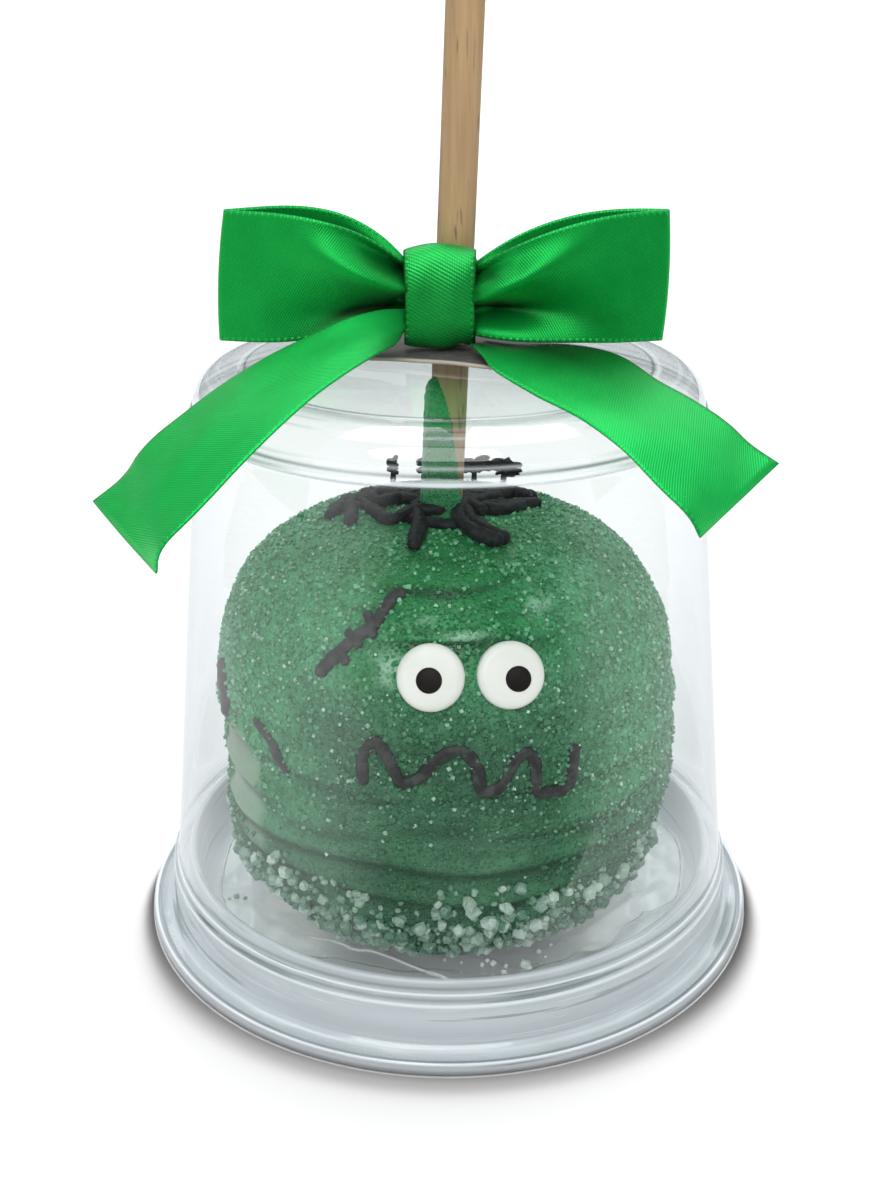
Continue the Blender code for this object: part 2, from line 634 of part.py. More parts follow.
def make_knot(group, cutters, material):
    """The knot: a soft block in front of the stick, and the turn of ribbon round the stick."""
    shape = bmesh.new()
    bmesh.ops.create_cube(shape, size=1.0)
    bmesh.ops.subdivide_edges(shape, edges=shape.edges, cuts=2, use_grid_fill=True)
    width, depth, height = KNOT_SIZE
    for vertex in shape.verts:
        side, front, up = vertex.co
        waist = 1.0 - KNOT_WAIST * (1 - abs(up) * 2)
        corner = 1.0 - KNOT_CORNERS * abs(side * up) * 4
        vertex.co = (side * width * waist, front * depth * corner, up * height)
        vertex.co += KNOT_CENTRE
    knot = add_object("ribbon_knot", mesh_from_bmesh("ribbon_knot", shape), group, material)
    soften = knot.modifiers.new("Soften", "SUBSURF")
    soften.levels = 1
    soften.render_levels = 1
    low = KNOT_CENTRE.z - TIE_HEIGHT / 2
    tie = add_object("tie", mesh_from_bmesh("tie", stick_cylinder(
        TIE_RADIUS, low, low + TIE_HEIGHT, STICK_SIDES)), cutters)
    hide_cutter(tie)
    boolean(knot, "UNION", other=tie)
    bore = add_object("knot_bore", mesh_from_bmesh("knot_bore", stick_cylinder(
        STICK_RADIUS + GAP, low - 20 * MM, low + 40 * MM, STICK_SIDES)), cutters)
    hide_cutter(bore)
    boolean(knot, "DIFFERENCE", other=bore)
    return knot


def sheet_object(name, rows, group, material, thickness):
    """A strip through rows of points, thickened to a closed solid."""
    shape = bmesh.new()
    grid = [[shape.verts.new(point) for point in row] for row in rows]
    for row, following in zip(grid, grid[1:]):
        for a, b, c, d in zip(row, row[1:], following[1:], following):
            shape.faces.new((a, b, c, d))
    bmesh.ops.triangulate(shape, faces=shape.faces)
    item = add_object(name, mesh_from_bmesh(name, shape), group, material)
    thicken(item, thickness)
    return item


def loop_layer(share, side, knot_x, knot_z, knot_half, far_x, far_z, slant):
    """One row of a loop's front (-1) or back (+1) layer, a share of the way to its far crease."""
    out = share ** 0.8
    half = knot_half + (LOOP_HALF_OUTER - knot_half) * out
    middle = knot_z + (far_z - knot_z) * out
    apart = LOOP_PRESSED + LOOP_OPEN * math.sin(math.pi * share ** 0.7)
    row = []
    for step in range(LOOP_ROWS + 1):
        across = -1 + 2 * step / LOOP_ROWS
        pleat = LOOP_PLEAT * math.cos(across * math.pi) * (1 - share) ** 2
        row.append((knot_x + (far_x - knot_x) * share + slant * across * share,
                    KNOT_CENTRE.y + side * apart - pleat, middle + half * across))
    return row


def loop_rows(sizes):
    """Rows of points out along a bow loop's front layer and back along the other."""
    shares = [station / LOOP_STATIONS for station in range(LOOP_STATIONS)]
    front = [loop_layer(share, -1, *sizes) for share in shares]
    crease = [loop_layer(1.0, side, *sizes) for side in (-1, 1)]
    back = [loop_layer(share, 1, *sizes) for share in reversed(shares)]
    return front + crease + back


def tail_rows(stations):
    """Rows of points down a ribbon tail, square to its route and leaning as stated."""
    route = smooth_route([(x * MM, y * MM, z * MM, half * MM, lean)
                          for x, y, z, half, lean in stations], TAIL_STEP)
    rows = []
    last = len(route) - 1
    for number, (x, y, z, half, lean) in enumerate(route):
        run = route[min(number + 1, last)][:3] - route[max(number - 1, 0)][:3]
        along = Vector(run).normalized()
        level = Vector((0.0, 0.0, 1.0)).cross(along).normalized()
        across = Matrix.Rotation(math.radians(lean), 3, along) @ level
        rows.append([Vector((x, y, z)) + across * half * (step / 2 - 1) for step in range(5)])
    return rows


def make_ribbon(group, cutters, material):
    """The bow: a knot tied to the stick, two loops and two tails."""
    make_knot(group, cutters, material)
    for name, sizes in LOOPS.items():
        sheet_object(name, loop_rows(sizes), group, material, RIBBON_THICKNESS)
    for name, stations in TAILS.items():
        sheet_object(name, tail_rows(stations), group, material, RIBBON_THICKNESS)


def main():
    clear_scene()
    parts = new_collection("candy_apple_gift_pack")
    cutters = new_collection("cutters")
    plastic = new_material("clear_plastic", (0.86, 0.90, 0.92), 0.08)
    film = new_material("clear_film", (0.80, 0.84, 0.86), 0.15)
    coating = new_material("candy_coating", (0.02, 0.19, 0.06), 0.55)
    candy = new_material("white_candy", (0.86, 0.86, 0.83), 0.35)
    wood = new_material("wood", (0.55, 0.36, 0.19), 0.6)
    card = new_material("grey_card", (0.10, 0.09, 0.09), 0.7)
    satin = new_material("green_satin", (0.0, 0.30, 0.05), 0.4)
    make_base(parts, plastic)
    make_dome(parts, plastic)
    make_film(parts, film)
    make_stick(parts, wood)
    make_apple(parts, cutters, coating)
    for name, (x, z, pupil_x, pupil_z) in EYES.items():
        make_eye(name, x, z, pupil_x, pupil_z, parts, cutters, candy)
    make_card(parts, cutters, card)
    make_ribbon(parts, cutters, satin)


main()
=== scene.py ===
"""Looks of a candy apple on a stick, shut in a clear dome pack with a satin bow.

Sizes are in millimetres until a mesh is made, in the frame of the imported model: +Z up,
-Y towards the candy eyes. Every piece rides on the model's only body.
"""
from __future__ import annotations

import logging
from dataclasses import dataclass, field
from enum import Enum
from math import acos, asin, atan2, copysign, cos, exp, hypot, pi, radians, remainder, sin, sqrt, tan, tau
from typing import Any, Callable, Iterable, Sequence, Union

import bmesh
import bpy
import numpy as np
from mathutils import Matrix, Vector
from mathutils.noise import noise


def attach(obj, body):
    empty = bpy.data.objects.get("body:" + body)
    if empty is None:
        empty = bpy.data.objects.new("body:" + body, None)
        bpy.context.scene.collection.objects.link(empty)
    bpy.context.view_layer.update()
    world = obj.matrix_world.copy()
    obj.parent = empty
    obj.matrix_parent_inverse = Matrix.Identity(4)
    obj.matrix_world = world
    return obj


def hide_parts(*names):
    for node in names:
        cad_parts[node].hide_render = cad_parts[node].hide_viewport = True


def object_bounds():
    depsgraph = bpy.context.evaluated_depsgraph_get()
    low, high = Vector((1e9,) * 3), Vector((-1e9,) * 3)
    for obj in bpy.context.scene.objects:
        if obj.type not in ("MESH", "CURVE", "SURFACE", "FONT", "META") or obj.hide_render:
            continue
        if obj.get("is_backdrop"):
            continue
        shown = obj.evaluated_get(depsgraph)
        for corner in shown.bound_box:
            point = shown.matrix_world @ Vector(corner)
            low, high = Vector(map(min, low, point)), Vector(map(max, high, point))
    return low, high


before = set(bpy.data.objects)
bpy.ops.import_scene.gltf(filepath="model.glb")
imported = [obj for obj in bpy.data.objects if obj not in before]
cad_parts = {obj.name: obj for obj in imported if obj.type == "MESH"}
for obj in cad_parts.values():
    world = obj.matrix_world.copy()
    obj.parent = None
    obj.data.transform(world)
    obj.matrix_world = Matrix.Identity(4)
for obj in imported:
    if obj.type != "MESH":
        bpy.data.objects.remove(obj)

MM = 0.001
BODY = "root"
LOG = logging.getLogger("candy_apple")

Object, Material, Array = bpy.types.Object, bpy.types.Material, np.ndarray
Pair, Triple, Floats = tuple[float, float], tuple[float, float, float], tuple[float, ...]
Colour = Triple


# ---- shader graphs ----
class Wire:
    """One output of a shader graph, which takes part in sums as a number does."""

    def __init__(self, graph: "Graph", socket: bpy.types.NodeSocket) -> None:
        """Keep the graph and the socket that the value comes from."""
        self.graph = graph
        self.socket = socket

    def __add__(self, other: "Value") -> "Wire":
        """Sum of two values."""
        return self.graph.math("ADD", self, other)

    __radd__ = __add__

    def __sub__(self, other: "Value") -> "Wire":
        """Difference of two values."""
        return self.graph.math("SUBTRACT", self, other)

    def __rsub__(self, other: "Value") -> "Wire":
        """A number less this value."""
        return self.graph.math("SUBTRACT", other, self)

    def __mul__(self, other: "Value") -> "Wire":
        """Product of two values."""
        return self.graph.math("MULTIPLY", self, other)

    __rmul__ = __mul__

    def __truediv__(self, other: "Value") -> "Wire":
        """Quotient of two values."""
        return self.graph.math("DIVIDE", self, other)

    def __pow__(self, other: "Value") -> "Wire":
        """This value to a power."""
        return self.graph.math("POWER", self, other)


Value = Union[Wire, float]


class Graph:
    """The nodes of one material."""

    def __init__(self, name: str) -> None:
        """Make the material with an empty node tree.

        Args:
            name: Name of the material.
        """
        self.material = bpy.data.materials.new(name)
        self.material.use_nodes = True
        self.tree = self.material.node_tree
        self.tree.nodes.clear()

    def node(self, kind: str, settings: dict[str, Any] | None = None,
             inputs: dict[Any, Any] | None = None, output: int | str = 0) -> Wire:
        """Add any node.

        Args:
            kind: The node's type, without its ShaderNode prefix.
            settings: Properties of the node, set first.
            inputs: Values or wires of its sockets, by name or number.
            output: Which of its outputs to return.

        Returns:
            The chosen output.
        """
        node = self.tree.nodes.new("ShaderNode" + kind)
        for key, value in (settings or {}).items():
            setattr(node, key, value)
        for key, value in (inputs or {}).items():
            self._feed(node.inputs[key], value)
        return Wire(self, node.outputs[output])

    def _feed(self, socket: bpy.types.NodeSocket, value: Any) -> None:
        """Link a wire to a socket, or set its value.

        Args:
            socket: Socket of the receiving node.
            value: A wire, a number, a colour or a vector.
        """
        if isinstance(value, Wire):
            self.tree.links.new(value.socket, socket)
        elif socket.type == "RGBA" and len(value) == 3:
            socket.default_value = (*value, 1.0)
        else:
            socket.default_value = value

    def math(self, operation: str, first: Value, second: Value = 0.0, clamp: bool = False) -> Wire:
        """The result of one arithmetic step on one or two values, kept from 0 to 1 on demand."""
        return self.node("Math", {"operation": operation, "use_clamp": clamp}, {0: first, 1: second})

    def clamp(self, value: Value) -> Wire:
        """The value kept between 0 and 1."""
        return self.math("ADD", value, 0.0, clamp=True)

    def step(self, value: Value, low: float, high: float) -> Wire:
        """A smooth rise from 0 where the value is low to 1 where it is high, either way round."""
        return self.node("MapRange", {"interpolation_type": "SMOOTHSTEP"},
                         {"Value": value, "From Min": low, "From Max": high})

    def mix(self, share: Value, first: Any, second: Any, mode: str = "MIX") -> Wire:
        """Two colours blended by the share of the second, or one laid over the other by a mode."""
        return self.node("Mix", {"data_type": "RGBA", "blend_type": mode},
                         {0: share, 6: first, 7: second}, output=2)

    def places(self, scale: Triple = (1.0, 1.0, 1.0)) -> Wire:
        """Points of the piece in metres, stretched along x, y and z."""
        spot = self.node("TexCoord", output="Object")
        return self.node("VectorMath", {"operation": "MULTIPLY"}, {0: spot, 1: scale})

    def grain(self, per_metre: float, detail: float = 2.0, scale: Triple = (1.0, 1.0, 1.0),
              roughness: float = 0.5) -> Wire:
        """Soft noise about 0.5, by its lumps in a metre, its octaves, its stretch and their strength."""
        return self.node("TexNoise", None, {"Vector": self.places(scale), "Scale": per_metre,
                                            "Detail": detail, "Roughness": roughness})

    def cells(self, per_metre: float, output: str = "Distance") -> Wire:
        """One output of Voronoi cells, by how many there are in a metre."""
        return self.node("TexVoronoi", None, {"Vector": self.places(), "Scale": per_metre}, output)

    def part(self, vector: Wire, axis: str) -> Wire:
        """One coordinate of a vector."""
        return self.node("SeparateXYZ", None, {0: vector}, axis)

    def painted(self, name: str) -> Wire:
        """A value that the mesh holds on its points."""
        return self.node("Attribute", {"attribute_name": name}, None, "Fac")

    def bump(self, height: Value, distance: float, strength: float = 1.0) -> Wire:
        """A normal bumped by a relief from 0 to 1, its height in metres and the share that shows."""
        return self.node("Bump", None, {"Height": height, "Distance": distance, "Strength": strength},
                         "Normal")

    def surface(self, **inputs: Any) -> Wire:
        """A Principled surface, its inputs named with underscores for spaces."""
        named = {key.replace("_", " "): value for key, value in inputs.items()}
        return self.node("BsdfPrincipled", None, named)

    def layer(self, share: Value, under: Wire, over: Wire) -> Wire:
        """One shader laid over another, by how much of the upper one shows."""
        return self.node("MixShader", None, {0: share, 1: under, 2: over})

    def done(self, shader: Wire) -> Material:
        """Connect the shader to the material's output.

        Args:
            shader: The finished surface.

        Returns:
            The material.
        """
        output = self.tree.nodes.new("ShaderNodeOutputMaterial")
        self.tree.links.new(shader.socket, output.inputs["Surface"])
        return self.material


# ---- finishes ----
class Finish:
    """A finish of one or more pieces."""

    made: dict["Finish", Material] = {}

    def material(self) -> Material:
        """Make the material the first time, and hand out the same one after that.

        Returns:
            The material.
        """
        if self not in Finish.made:
            Finish.made[self] = self.build()
        return Finish.made[self]

    def build(self) -> Material:
        """Make the material."""
        raise NotImplementedError


@dataclass(frozen=True)
class ClearPlastic(Finish):
    """Thin clear plastic: see-through head on, mirroring and darker where it turns away.

    The paint called dark lays painted shade on folds and steps, pale lays painted highlights and a
    partly painted pale veil, and block marks the parts that keep light from what is under them.
    """

    name: str = "clear_plastic"
    tint: Colour = (0.905, 0.925, 0.925)
    edge_tint: Colour = (0.52, 0.58, 0.62)
    # painted shade that the dark paint brings on folds and steps
    painted_fold_shade: Colour = (0.22, 0.29, 0.27)
    haze: float = 0.003
    haze_colour: Colour = (0.78, 0.84, 0.88)
    scuffs: float = 0.032
    roughness: float = 0.03
    head_on: float = 0.03  # share that one face mirrors of a ray that meets it head on
    shadow: float = 0.05  # share of the light that it keeps from what is behind it
    lines: float = 0.5  # strength of the painted dark and bright lines round its moulded steps
    painted_glow: float = 0.0  # painted glow: emission that lightens its haze as if it gathered light from all round

    def build(self) -> Material:
        """Make the material.

        Returns:
            The material.
        """
        g = Graph(self.name)
        turned = g.node("LayerWeight", None, {"Blend": 0.5}, "Facing")
        dark, pale, block = g.painted("dark"), g.painted("pale"), g.painted("block")
        # Painted dark lines and painted bright lines round the moulded steps, where the pale paint is.
        moulded = g.step(pale, 0.12, 0.4)
        line = moulded * g.step(g.grain(17.0, 3.0, (1.0, 1.0, 27.0), 0.6), 0.57, 0.63)
        painted_gleam = moulded * g.step(g.grain(23.0, 3.0, (1.0, 1.0, 37.0), 0.6), 0.58, 0.66)
        dark = dark + self.lines * line
        pale = pale + self.lines * (0.6 * painted_gleam - 0.7 * line)
        ripple = g.grain(60.0, 2.0, (1.0, 1.0, 0.35))
        normal = g.bump(ripple, 0.25 * MM, 0.35)
        one_face = self.head_on + (1.0 - self.head_on) * turned ** 5.0
        both_faces = 2.0 * one_face / (1.0 + one_face)
        clear = g.node("BsdfTransparent", None, {"Color": self.tint})
        edge = g.node("BsdfTransparent", None, {"Color": self.edge_tint})
        # The fold shader lays painted shade where the dark paint says, broken up a little below.
        fold = g.node("BsdfTransparent", None, {"Color": self.painted_fold_shade})
        through = g.layer(g.clamp(turned ** 4.0), clear, edge)
        broken = g.step(g.grain(30.0, 2.0, (1.0, 1.0, 6.0)), 0.25, 0.6)
        through = g.layer(g.clamp(dark * (0.35 + 0.65 * broken)), through, fold)
        rim_tone = g.mix(g.step(turned, 0.72, 0.97), (0.97, 0.985, 1.0), (0.62, 0.66, 0.7))
        mirror = g.surface(Base_Color=rim_tone, Metallic=1.0, Roughness=self.roughness, Normal=normal)
        glossy = g.layer(g.clamp(both_faces * (1.0 - 0.8 * dark)), through, mirror)
        scratch = g.step(g.grain(900.0, 3.0, (1.0, 1.0, 0.08), 0.7), 0.62, 0.72)
        smear = g.step(g.grain(45.0, 3.0), 0.45, 0.75)
        # The veil's emission is a painted glow.
        veil = g.surface(Base_Color=self.haze_colour, Roughness=0.5, Emission_Color=self.haze_colour,
                         Emission_Strength=self.painted_glow)
        # Haze and scuffs are the plastic's own; the pale paint adds painted highlights and a partly painted
        # pale veil.
        share = self.haze + self.scuffs * (0.3 * scratch + smear) * (0.35 + 0.5 * turned)
        shown = g.layer(g.clamp(share + pale * 0.75), glossy, veil)
        rays = (g.node("LightPath", output="Is Shadow Ray") + g.node("LightPath", output="Is Diffuse Ray"))
        stop = g.surface(Base_Color=(0.3, 0.31, 0.33), Roughness=0.9)
        return g.done(g.layer(g.clamp(rays * (self.shadow + block)), shown, stop))


@dataclass(frozen=True)
class SugaredCoat(Finish):
    """Green candy coating set with fine sugar, bare where the paint called bare says so."""

    name: str = "candy_coating"
    low: tuple[Colour, Colour] = ((0.026, 0.12, 0.055), (0.06, 0.21, 0.108))
    high: tuple[Colour, Colour] = ((0.046, 0.29, 0.12), (0.115, 0.46, 0.235))
    wet: Colour = (0.003, 0.205, 0.046)
    bare: Colour = (0.22, 0.37, 0.25)
    foot: Colour = (0.62, 0.62, 0.5)
    crust: Colour = (0.3, 0.54, 0.37)
    speck: Colour = (0.16, 0.46, 0.24)
    # painted shade in the creases under the folds
    crease_shade: Colour = (0.001, 0.045, 0.014)

    def build(self) -> Material:
        """Make the material.

        Returns:
            The material.
        """
        g = Graph(self.name)
        bare = g.painted("bare")
        foot = g.painted("foot")
        blotch = g.step(g.grain(70.0, 4.0, (1.0, 1.0, 1.7), 0.6), 0.32, 0.68)
        coat = g.mix(g.painted("high"), g.mix(blotch, *self.low), g.mix(blotch, *self.high))
        coat = g.mix(0.85 * g.painted("wet"), coat, self.wet)
        crumb = g.cells(1900.0)
        fine = g.step(crumb, 0.55, 0.05)
        pick = g.node("SeparateColor", None, {0: g.cells(1900.0, "Color")}, "Red")
        bright = fine * g.step(pick, 0.72, 0.95) * (1.0 - bare)
        coat = g.mix(bright * 0.75, coat, self.speck)
        shade = g.mix(g.grain(1500.0, 2.0), (0.55, 0.6, 0.55), (1.25, 1.3, 1.25))
        coat = g.mix(1.0 - bare, coat, g.mix(1.0, coat, shade, "MULTIPLY"))
        skin = g.mix(g.grain(120.0, 3.0), self.bare, (0.2, 0.33, 0.2))
        coat = g.mix(bare, coat, skin)
        # painted shade in the creases under the folds
        coat = g.mix(0.8 * g.painted("crease_shade"), coat, self.crease_shade)
        frost = g.step(g.grain(420.0, 4.0, roughness=0.7) * 0.6 + g.painted("crust") * 0.75, 0.55, 0.95)
        coat = g.mix(frost * 0.8, coat, self.crust)
        coat = g.mix(foot, coat, self.foot)
        relief = g.mix(bare, fine, g.grain(260.0, 2.0))
        normal = g.bump(relief, 0.3 * MM, 0.9)
        rough = 0.6 - 0.22 * bare + 0.15 * fine - 0.3 * g.painted("wet")
        return g.done(g.surface(Base_Color=coat, Roughness=rough, Normal=normal, IOR=1.45))


@dataclass(frozen=True)
class Grains(Finish):
    """Sugar grains, from one colour to another as the paint called shade says."""

    name: str = "sugar"
    dim: Colour = (0.03, 0.14, 0.064)
    dark: Colour = (0.048, 0.245, 0.106)
    pale: Colour = (0.16, 0.48, 0.265)
    wet_dark: Colour = (0.004, 0.205, 0.05)
    wet_pale: Colour = (0.18, 0.56, 0.31)
    roughness: float = 0.35
    relief: float = 0.08

    def build(self) -> Material:
        """Make the material.

        Returns:
            The material.
        """
        g = Graph(self.name)
        mottle = g.grain(1400.0, 2.0)
        share = g.clamp(g.painted("shade") + 0.5 * (mottle - 0.5))
        dark = g.mix(g.painted("high"), self.dim, self.dark)
        colour = g.mix(g.painted("wet"), g.mix(share, dark, self.pale),
                       g.mix(share, self.wet_dark, self.wet_pale))
        normal = g.bump(g.grain(2600.0, 2.0), self.relief * MM, 0.8)
        return g.done(g.surface(Base_Color=colour, Roughness=self.roughness + 0.2 * mottle,
                                Normal=normal, Specular_IOR_Level=0.6))


@dataclass(frozen=True)
class Icing(Finish):
    """Piped icing, dark and matt, with a bloom of sugar."""

    name: str = "icing"
    dark: Colour = (0.004, 0.007, 0.007)
    bloom: Colour = (0.026, 0.03, 0.029)
    gloss: float = 0.22

    def build(self) -> Material:
        """Make the material.

        Returns:
            The material.
        """
        g = Graph(self.name)
        dust = g.step(g.grain(500.0, 4.0, roughness=0.65), 0.4, 0.72)
        colour = g.mix(dust, self.dark, self.bloom)
        normal = g.bump(g.grain(700.0, 3.0), 0.14 * MM, 0.8)
        return g.done(g.surface(Base_Color=colour, Roughness=0.45 + 0.25 * dust, Normal=normal,
                                Specular_IOR_Level=self.gloss))


@dataclass(frozen=True)
class PressedCandy(Finish):
    """Pressed sugar candy with a slight gloss."""

    name: str = "pressed_candy"
    colour: Colour = (0.87, 0.872, 0.815)
    shade: Colour = (0.82, 0.822, 0.76)
    roughness: float = 0.38
    grain: float = 900.0
    gloss: float = 0.5

    def build(self) -> Material:
        """Make the material.

        Returns:
            The material.
        """
        g = Graph(self.name)
        cloud = g.grain(180.0, 3.0)
        colour = g.mix(g.step(cloud, 0.35, 0.7), self.colour, self.shade)
        normal = g.bump(g.grain(self.grain, 3.0), 0.04 * MM, 0.6)
        return g.done(g.surface(Base_Color=colour, Roughness=self.roughness + 0.15 * (cloud - 0.5),
                                Normal=normal, Specular_IOR_Level=self.gloss,
                                Coat_Weight=0.4 * self.gloss, Coat_Roughness=0.3))


@dataclass(frozen=True)
class PlainWood(Finish):
    """Turned pale wood: long grain, pores and a few dark flecks along it."""

    name: str = "wood"
    pale: Colour = (0.455, 0.3, 0.15)
    brown: Colour = (0.305, 0.195, 0.095)
    fleck: Colour = (0.13, 0.08, 0.05)

    def build(self) -> Material:
        """Make the material.

        Returns:
            The material.
        """
        g = Graph(self.name)
        along = g.grain(700.0, 4.0, (1.0, 1.0, 0.045), 0.6)
        broad = g.grain(130.0, 2.0, (1.0, 1.0, 0.12))
        colour = g.mix(g.step(along * 0.6 + broad * 0.4, 0.33, 0.66), self.pale, self.brown)
        pores = g.step(g.grain(1500.0, 2.0, (1.0, 1.0, 0.06), 0.4), 0.63, 0.72)
        flecks = g.step(g.grain(1150.0, 1.0, (1.0, 1.0, 0.14), 0.3), 0.69, 0.76)
        colour = g.mix(g.clamp(0.4 * pores + 0.75 * flecks), colour, self.fleck)
        normal = g.bump(along - 0.5 * pores, 0.09 * MM, 0.7)
        return g.done(g.surface(Base_Color=colour, Roughness=0.55 + 0.2 * broad, Normal=normal))


@dataclass(frozen=True)
class GreyCard(Finish):
    """Thin charcoal card with a matt, fibrous face and a paler cut edge."""

    name: str = "grey_card"
    face: Colour = (0.06, 0.057, 0.057)
    fibre: Colour = (0.11, 0.104, 0.102)
    edge: Colour = (0.4, 0.34, 0.29)

    def build(self) -> Material:
        """Make the material.

        Returns:
            The material.
        """
        g = Graph(self.name)
        fibres = g.grain(900.0, 4.0, roughness=0.7)
        colour = g.mix(g.step(fibres, 0.35, 0.75), self.face, self.fibre)
        colour = g.mix(g.painted("cut"), colour, self.edge)
        normal = g.bump(fibres, 0.05 * MM, 0.8)
        return g.done(g.surface(Base_Color=colour, Roughness=0.55 + 0.2 * fibres, Normal=normal))


@dataclass(frozen=True)
class Satin(Finish):
    """Satin ribbon: a fine twill with a soft coloured gloss and a dotted woven edge.

    The mesh's map called weave gives a place across and along the ribbon, in metres. Painted
    shade darkens it in folds and under other parts of the bow.
    """

    name: str = "green_satin"
    colour: Colour = (0.004, 0.4, 0.06)
    shade: Colour = (0.0, 0.25, 0.032)
    edge: Colour = (0.02, 0.46, 0.095)
    # painted shade in folds and under other parts of the bow
    painted_shade: Colour = (0.0, 0.02, 0.002)
    pitch: float = 0.42  # millimetres between the twill's ridges
    slant: float = 0.55  # rise of a ridge along the ribbon for each step across
    half_width: float = 10.5
    hem: Pair = (0.75, 0.45)  # millimetres from the edge where its dots start, and are full
    dot_pitch: float = 1.05
    relief: float = 0.055

    def build(self) -> Material:
        """Make the material.

        Returns:
            The material.
        """
        g = Graph(self.name)
        place = g.node("UVMap", {"uv_map": "weave"})
        across, along = g.part(place, "X"), g.part(place, "Y")
        wobble = g.grain(300.0, 2.0)
        turn = tau / (self.pitch * MM)
        ridge = g.math("SINE", (along + self.slant * across) * turn + 1.5 * wobble) * 0.5 + 0.5
        thread = g.math("SINE", across * (turn * 1.7) + 0.6 * wobble) * 0.5 + 0.5
        rim = g.step(g.math("ABSOLUTE", across), (self.half_width - self.hem[0]) * MM,
                     (self.half_width - self.hem[1]) * MM)
        dots = g.math("SINE", along * (tau / (self.dot_pitch * MM))) * 0.5 + 0.5
        bead = rim * g.step(dots, 0.45, 0.75)
        colour = g.mix(ridge * 0.6 + 0.4 * wobble, self.shade, self.colour)
        colour = g.mix(bead * 0.65, colour, self.edge)
        # painted shade in folds and under other parts of the bow
        colour = g.mix(g.painted("tuck_and_shade"), colour, self.painted_shade)
        height = ridge * 0.55 * (1.0 - rim) + thread * 0.2 + bead * 1.6
        normal = g.bump(height, self.relief * MM, 0.9)
        rough = 0.36 + 0.1 * wobble - 0.05 * ridge
        return g.done(g.surface(Base_Color=colour, Roughness=rough, Metallic=0.5 + 0.2 * ridge,
                                Normal=normal, Specular_IOR_Level=0.25, Sheen_Weight=0.06,
                                Sheen_Roughness=0.4, Sheen_Tint=(0.4, 1.0, 0.5)))


@dataclass(frozen=True)
class StudioFloor(Finish):
    """A plain matt surface: the floor's, and in a dark colour the collar's."""

    name: str = "studio_floor"
    colour: Colour = (0.8, 0.8, 0.8)

    def build(self) -> Material:
        """Make the material."""
        g = Graph(self.name)
        return g.done(g.surface(Base_Color=self.colour, Roughness=0.9, Specular_IOR_Level=0.0))


@dataclass(frozen=True)
class FlagCloth(Finish):
    """Black cloth that thins out towards both sides, seen from the pack. Angles are degrees."""

    name: str = "flag_cloth"
    left: float = -44.0
    right: float = 66.0
    soft: float = 30.0

    def build(self) -> Material:
        """Make the material.

        Returns:
            The material.
        """
        g = Graph(self.name)
        place = g.places()
        x, y = g.part(place, "X"), g.part(place, "Y")
        side = g.math("DEGREES", g.math("ARCTAN2", x, 0.0 - y)) + 16.0 * (g.grain(14.0, 3.0) - 0.5)
        thick = (g.step(side, self.left, self.left + self.soft)
                 * g.step(side, self.right, self.right - self.soft))
        return g.done(g.surface(Base_Color=(0.02, 0.02, 0.02), Roughness=1.0, Alpha=thick * 0.97))


# ---- meshes ----
class Slot(Enum):
    """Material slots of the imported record."""

    PLASTIC = "clear_plastic"
    FILM = "clear_film"
    COATING = "candy_coating"
    CANDY = "white_candy"
    WOOD = "wood"
    CARD = "grey_card"
    SATIN = "green_satin"


def added(name: str, data: Any) -> Object:
    """Put a mesh, a light or the camera into the scene.

    Args:
        name: Name of the object.
        data: What it shows.

    Returns:
        The object.
    """
    item = bpy.data.objects.new(name, data)
    bpy.context.scene.collection.objects.link(item)
    return item


def rise(value: Any, start: float, length: float) -> Any:
    """Share, from 0 to 1, of a length that values have come past a start. Below 0 it runs down."""
    share = (value - start) / length
    return np.clip(share, 0.0, 1.0) if isinstance(share, Array) else min(1.0, max(0.0, share))


@dataclass
class Form:
    """A mesh on its way: points in millimetres, faces, and what is painted on the points."""

    points: Array
    faces: Array
    paint: dict[str, Array] = field(default_factory=dict)
    weave: Array | None = None

    def piece(self, name: str, finish: Finish, slot: Slot, node: str | None = None,
              smooth: bool = True, weld: bool = False, sheet: float = 0.0) -> Object:
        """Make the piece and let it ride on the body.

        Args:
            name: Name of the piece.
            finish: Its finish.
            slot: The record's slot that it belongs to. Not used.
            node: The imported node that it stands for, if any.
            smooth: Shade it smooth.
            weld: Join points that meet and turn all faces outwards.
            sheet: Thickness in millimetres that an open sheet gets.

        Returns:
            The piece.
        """
        mesh = bpy.data.meshes.new(name)
        mesh.from_pydata((self.points * MM).tolist(), [], self.faces.tolist())
        for key, values in self.paint.items():
            layer = mesh.attributes.new(key, "FLOAT", "POINT")
            layer.data.foreach_set("value", np.asarray(values, dtype=np.float32))
        if self.weave is not None:
            corners = np.zeros(len(mesh.loops), dtype=np.int32)
            mesh.loops.foreach_get("vertex_index", corners)
            layer = mesh.uv_layers.new(name="weave")
            layer.data.foreach_set("uv", (self.weave[corners] * MM).astype(np.float32).ravel())
        if weld:
            shape = bmesh.new()
            shape.from_mesh(mesh)
            bmesh.ops.remove_doubles(shape, verts=shape.verts, dist=1e-6)
            bmesh.ops.recalc_face_normals(shape, faces=shape.faces)
            shape.to_mesh(mesh)
            shape.free()
        mesh.polygons.foreach_set("use_smooth", [smooth] * len(mesh.polygons))
        mesh.update()
        mesh.materials.append(finish.material())
        item = added(name, mesh)
        if sheet:
            solid = item.modifiers.new("Thickness", "SOLIDIFY")
            solid.thickness = sheet * MM
            solid.offset = 0.0
        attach(item, BODY)
        if node is not None:
            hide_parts(node)
        LOG.info("%s: %d points, %d faces", name, len(mesh.vertices), len(mesh.polygons))
        return item


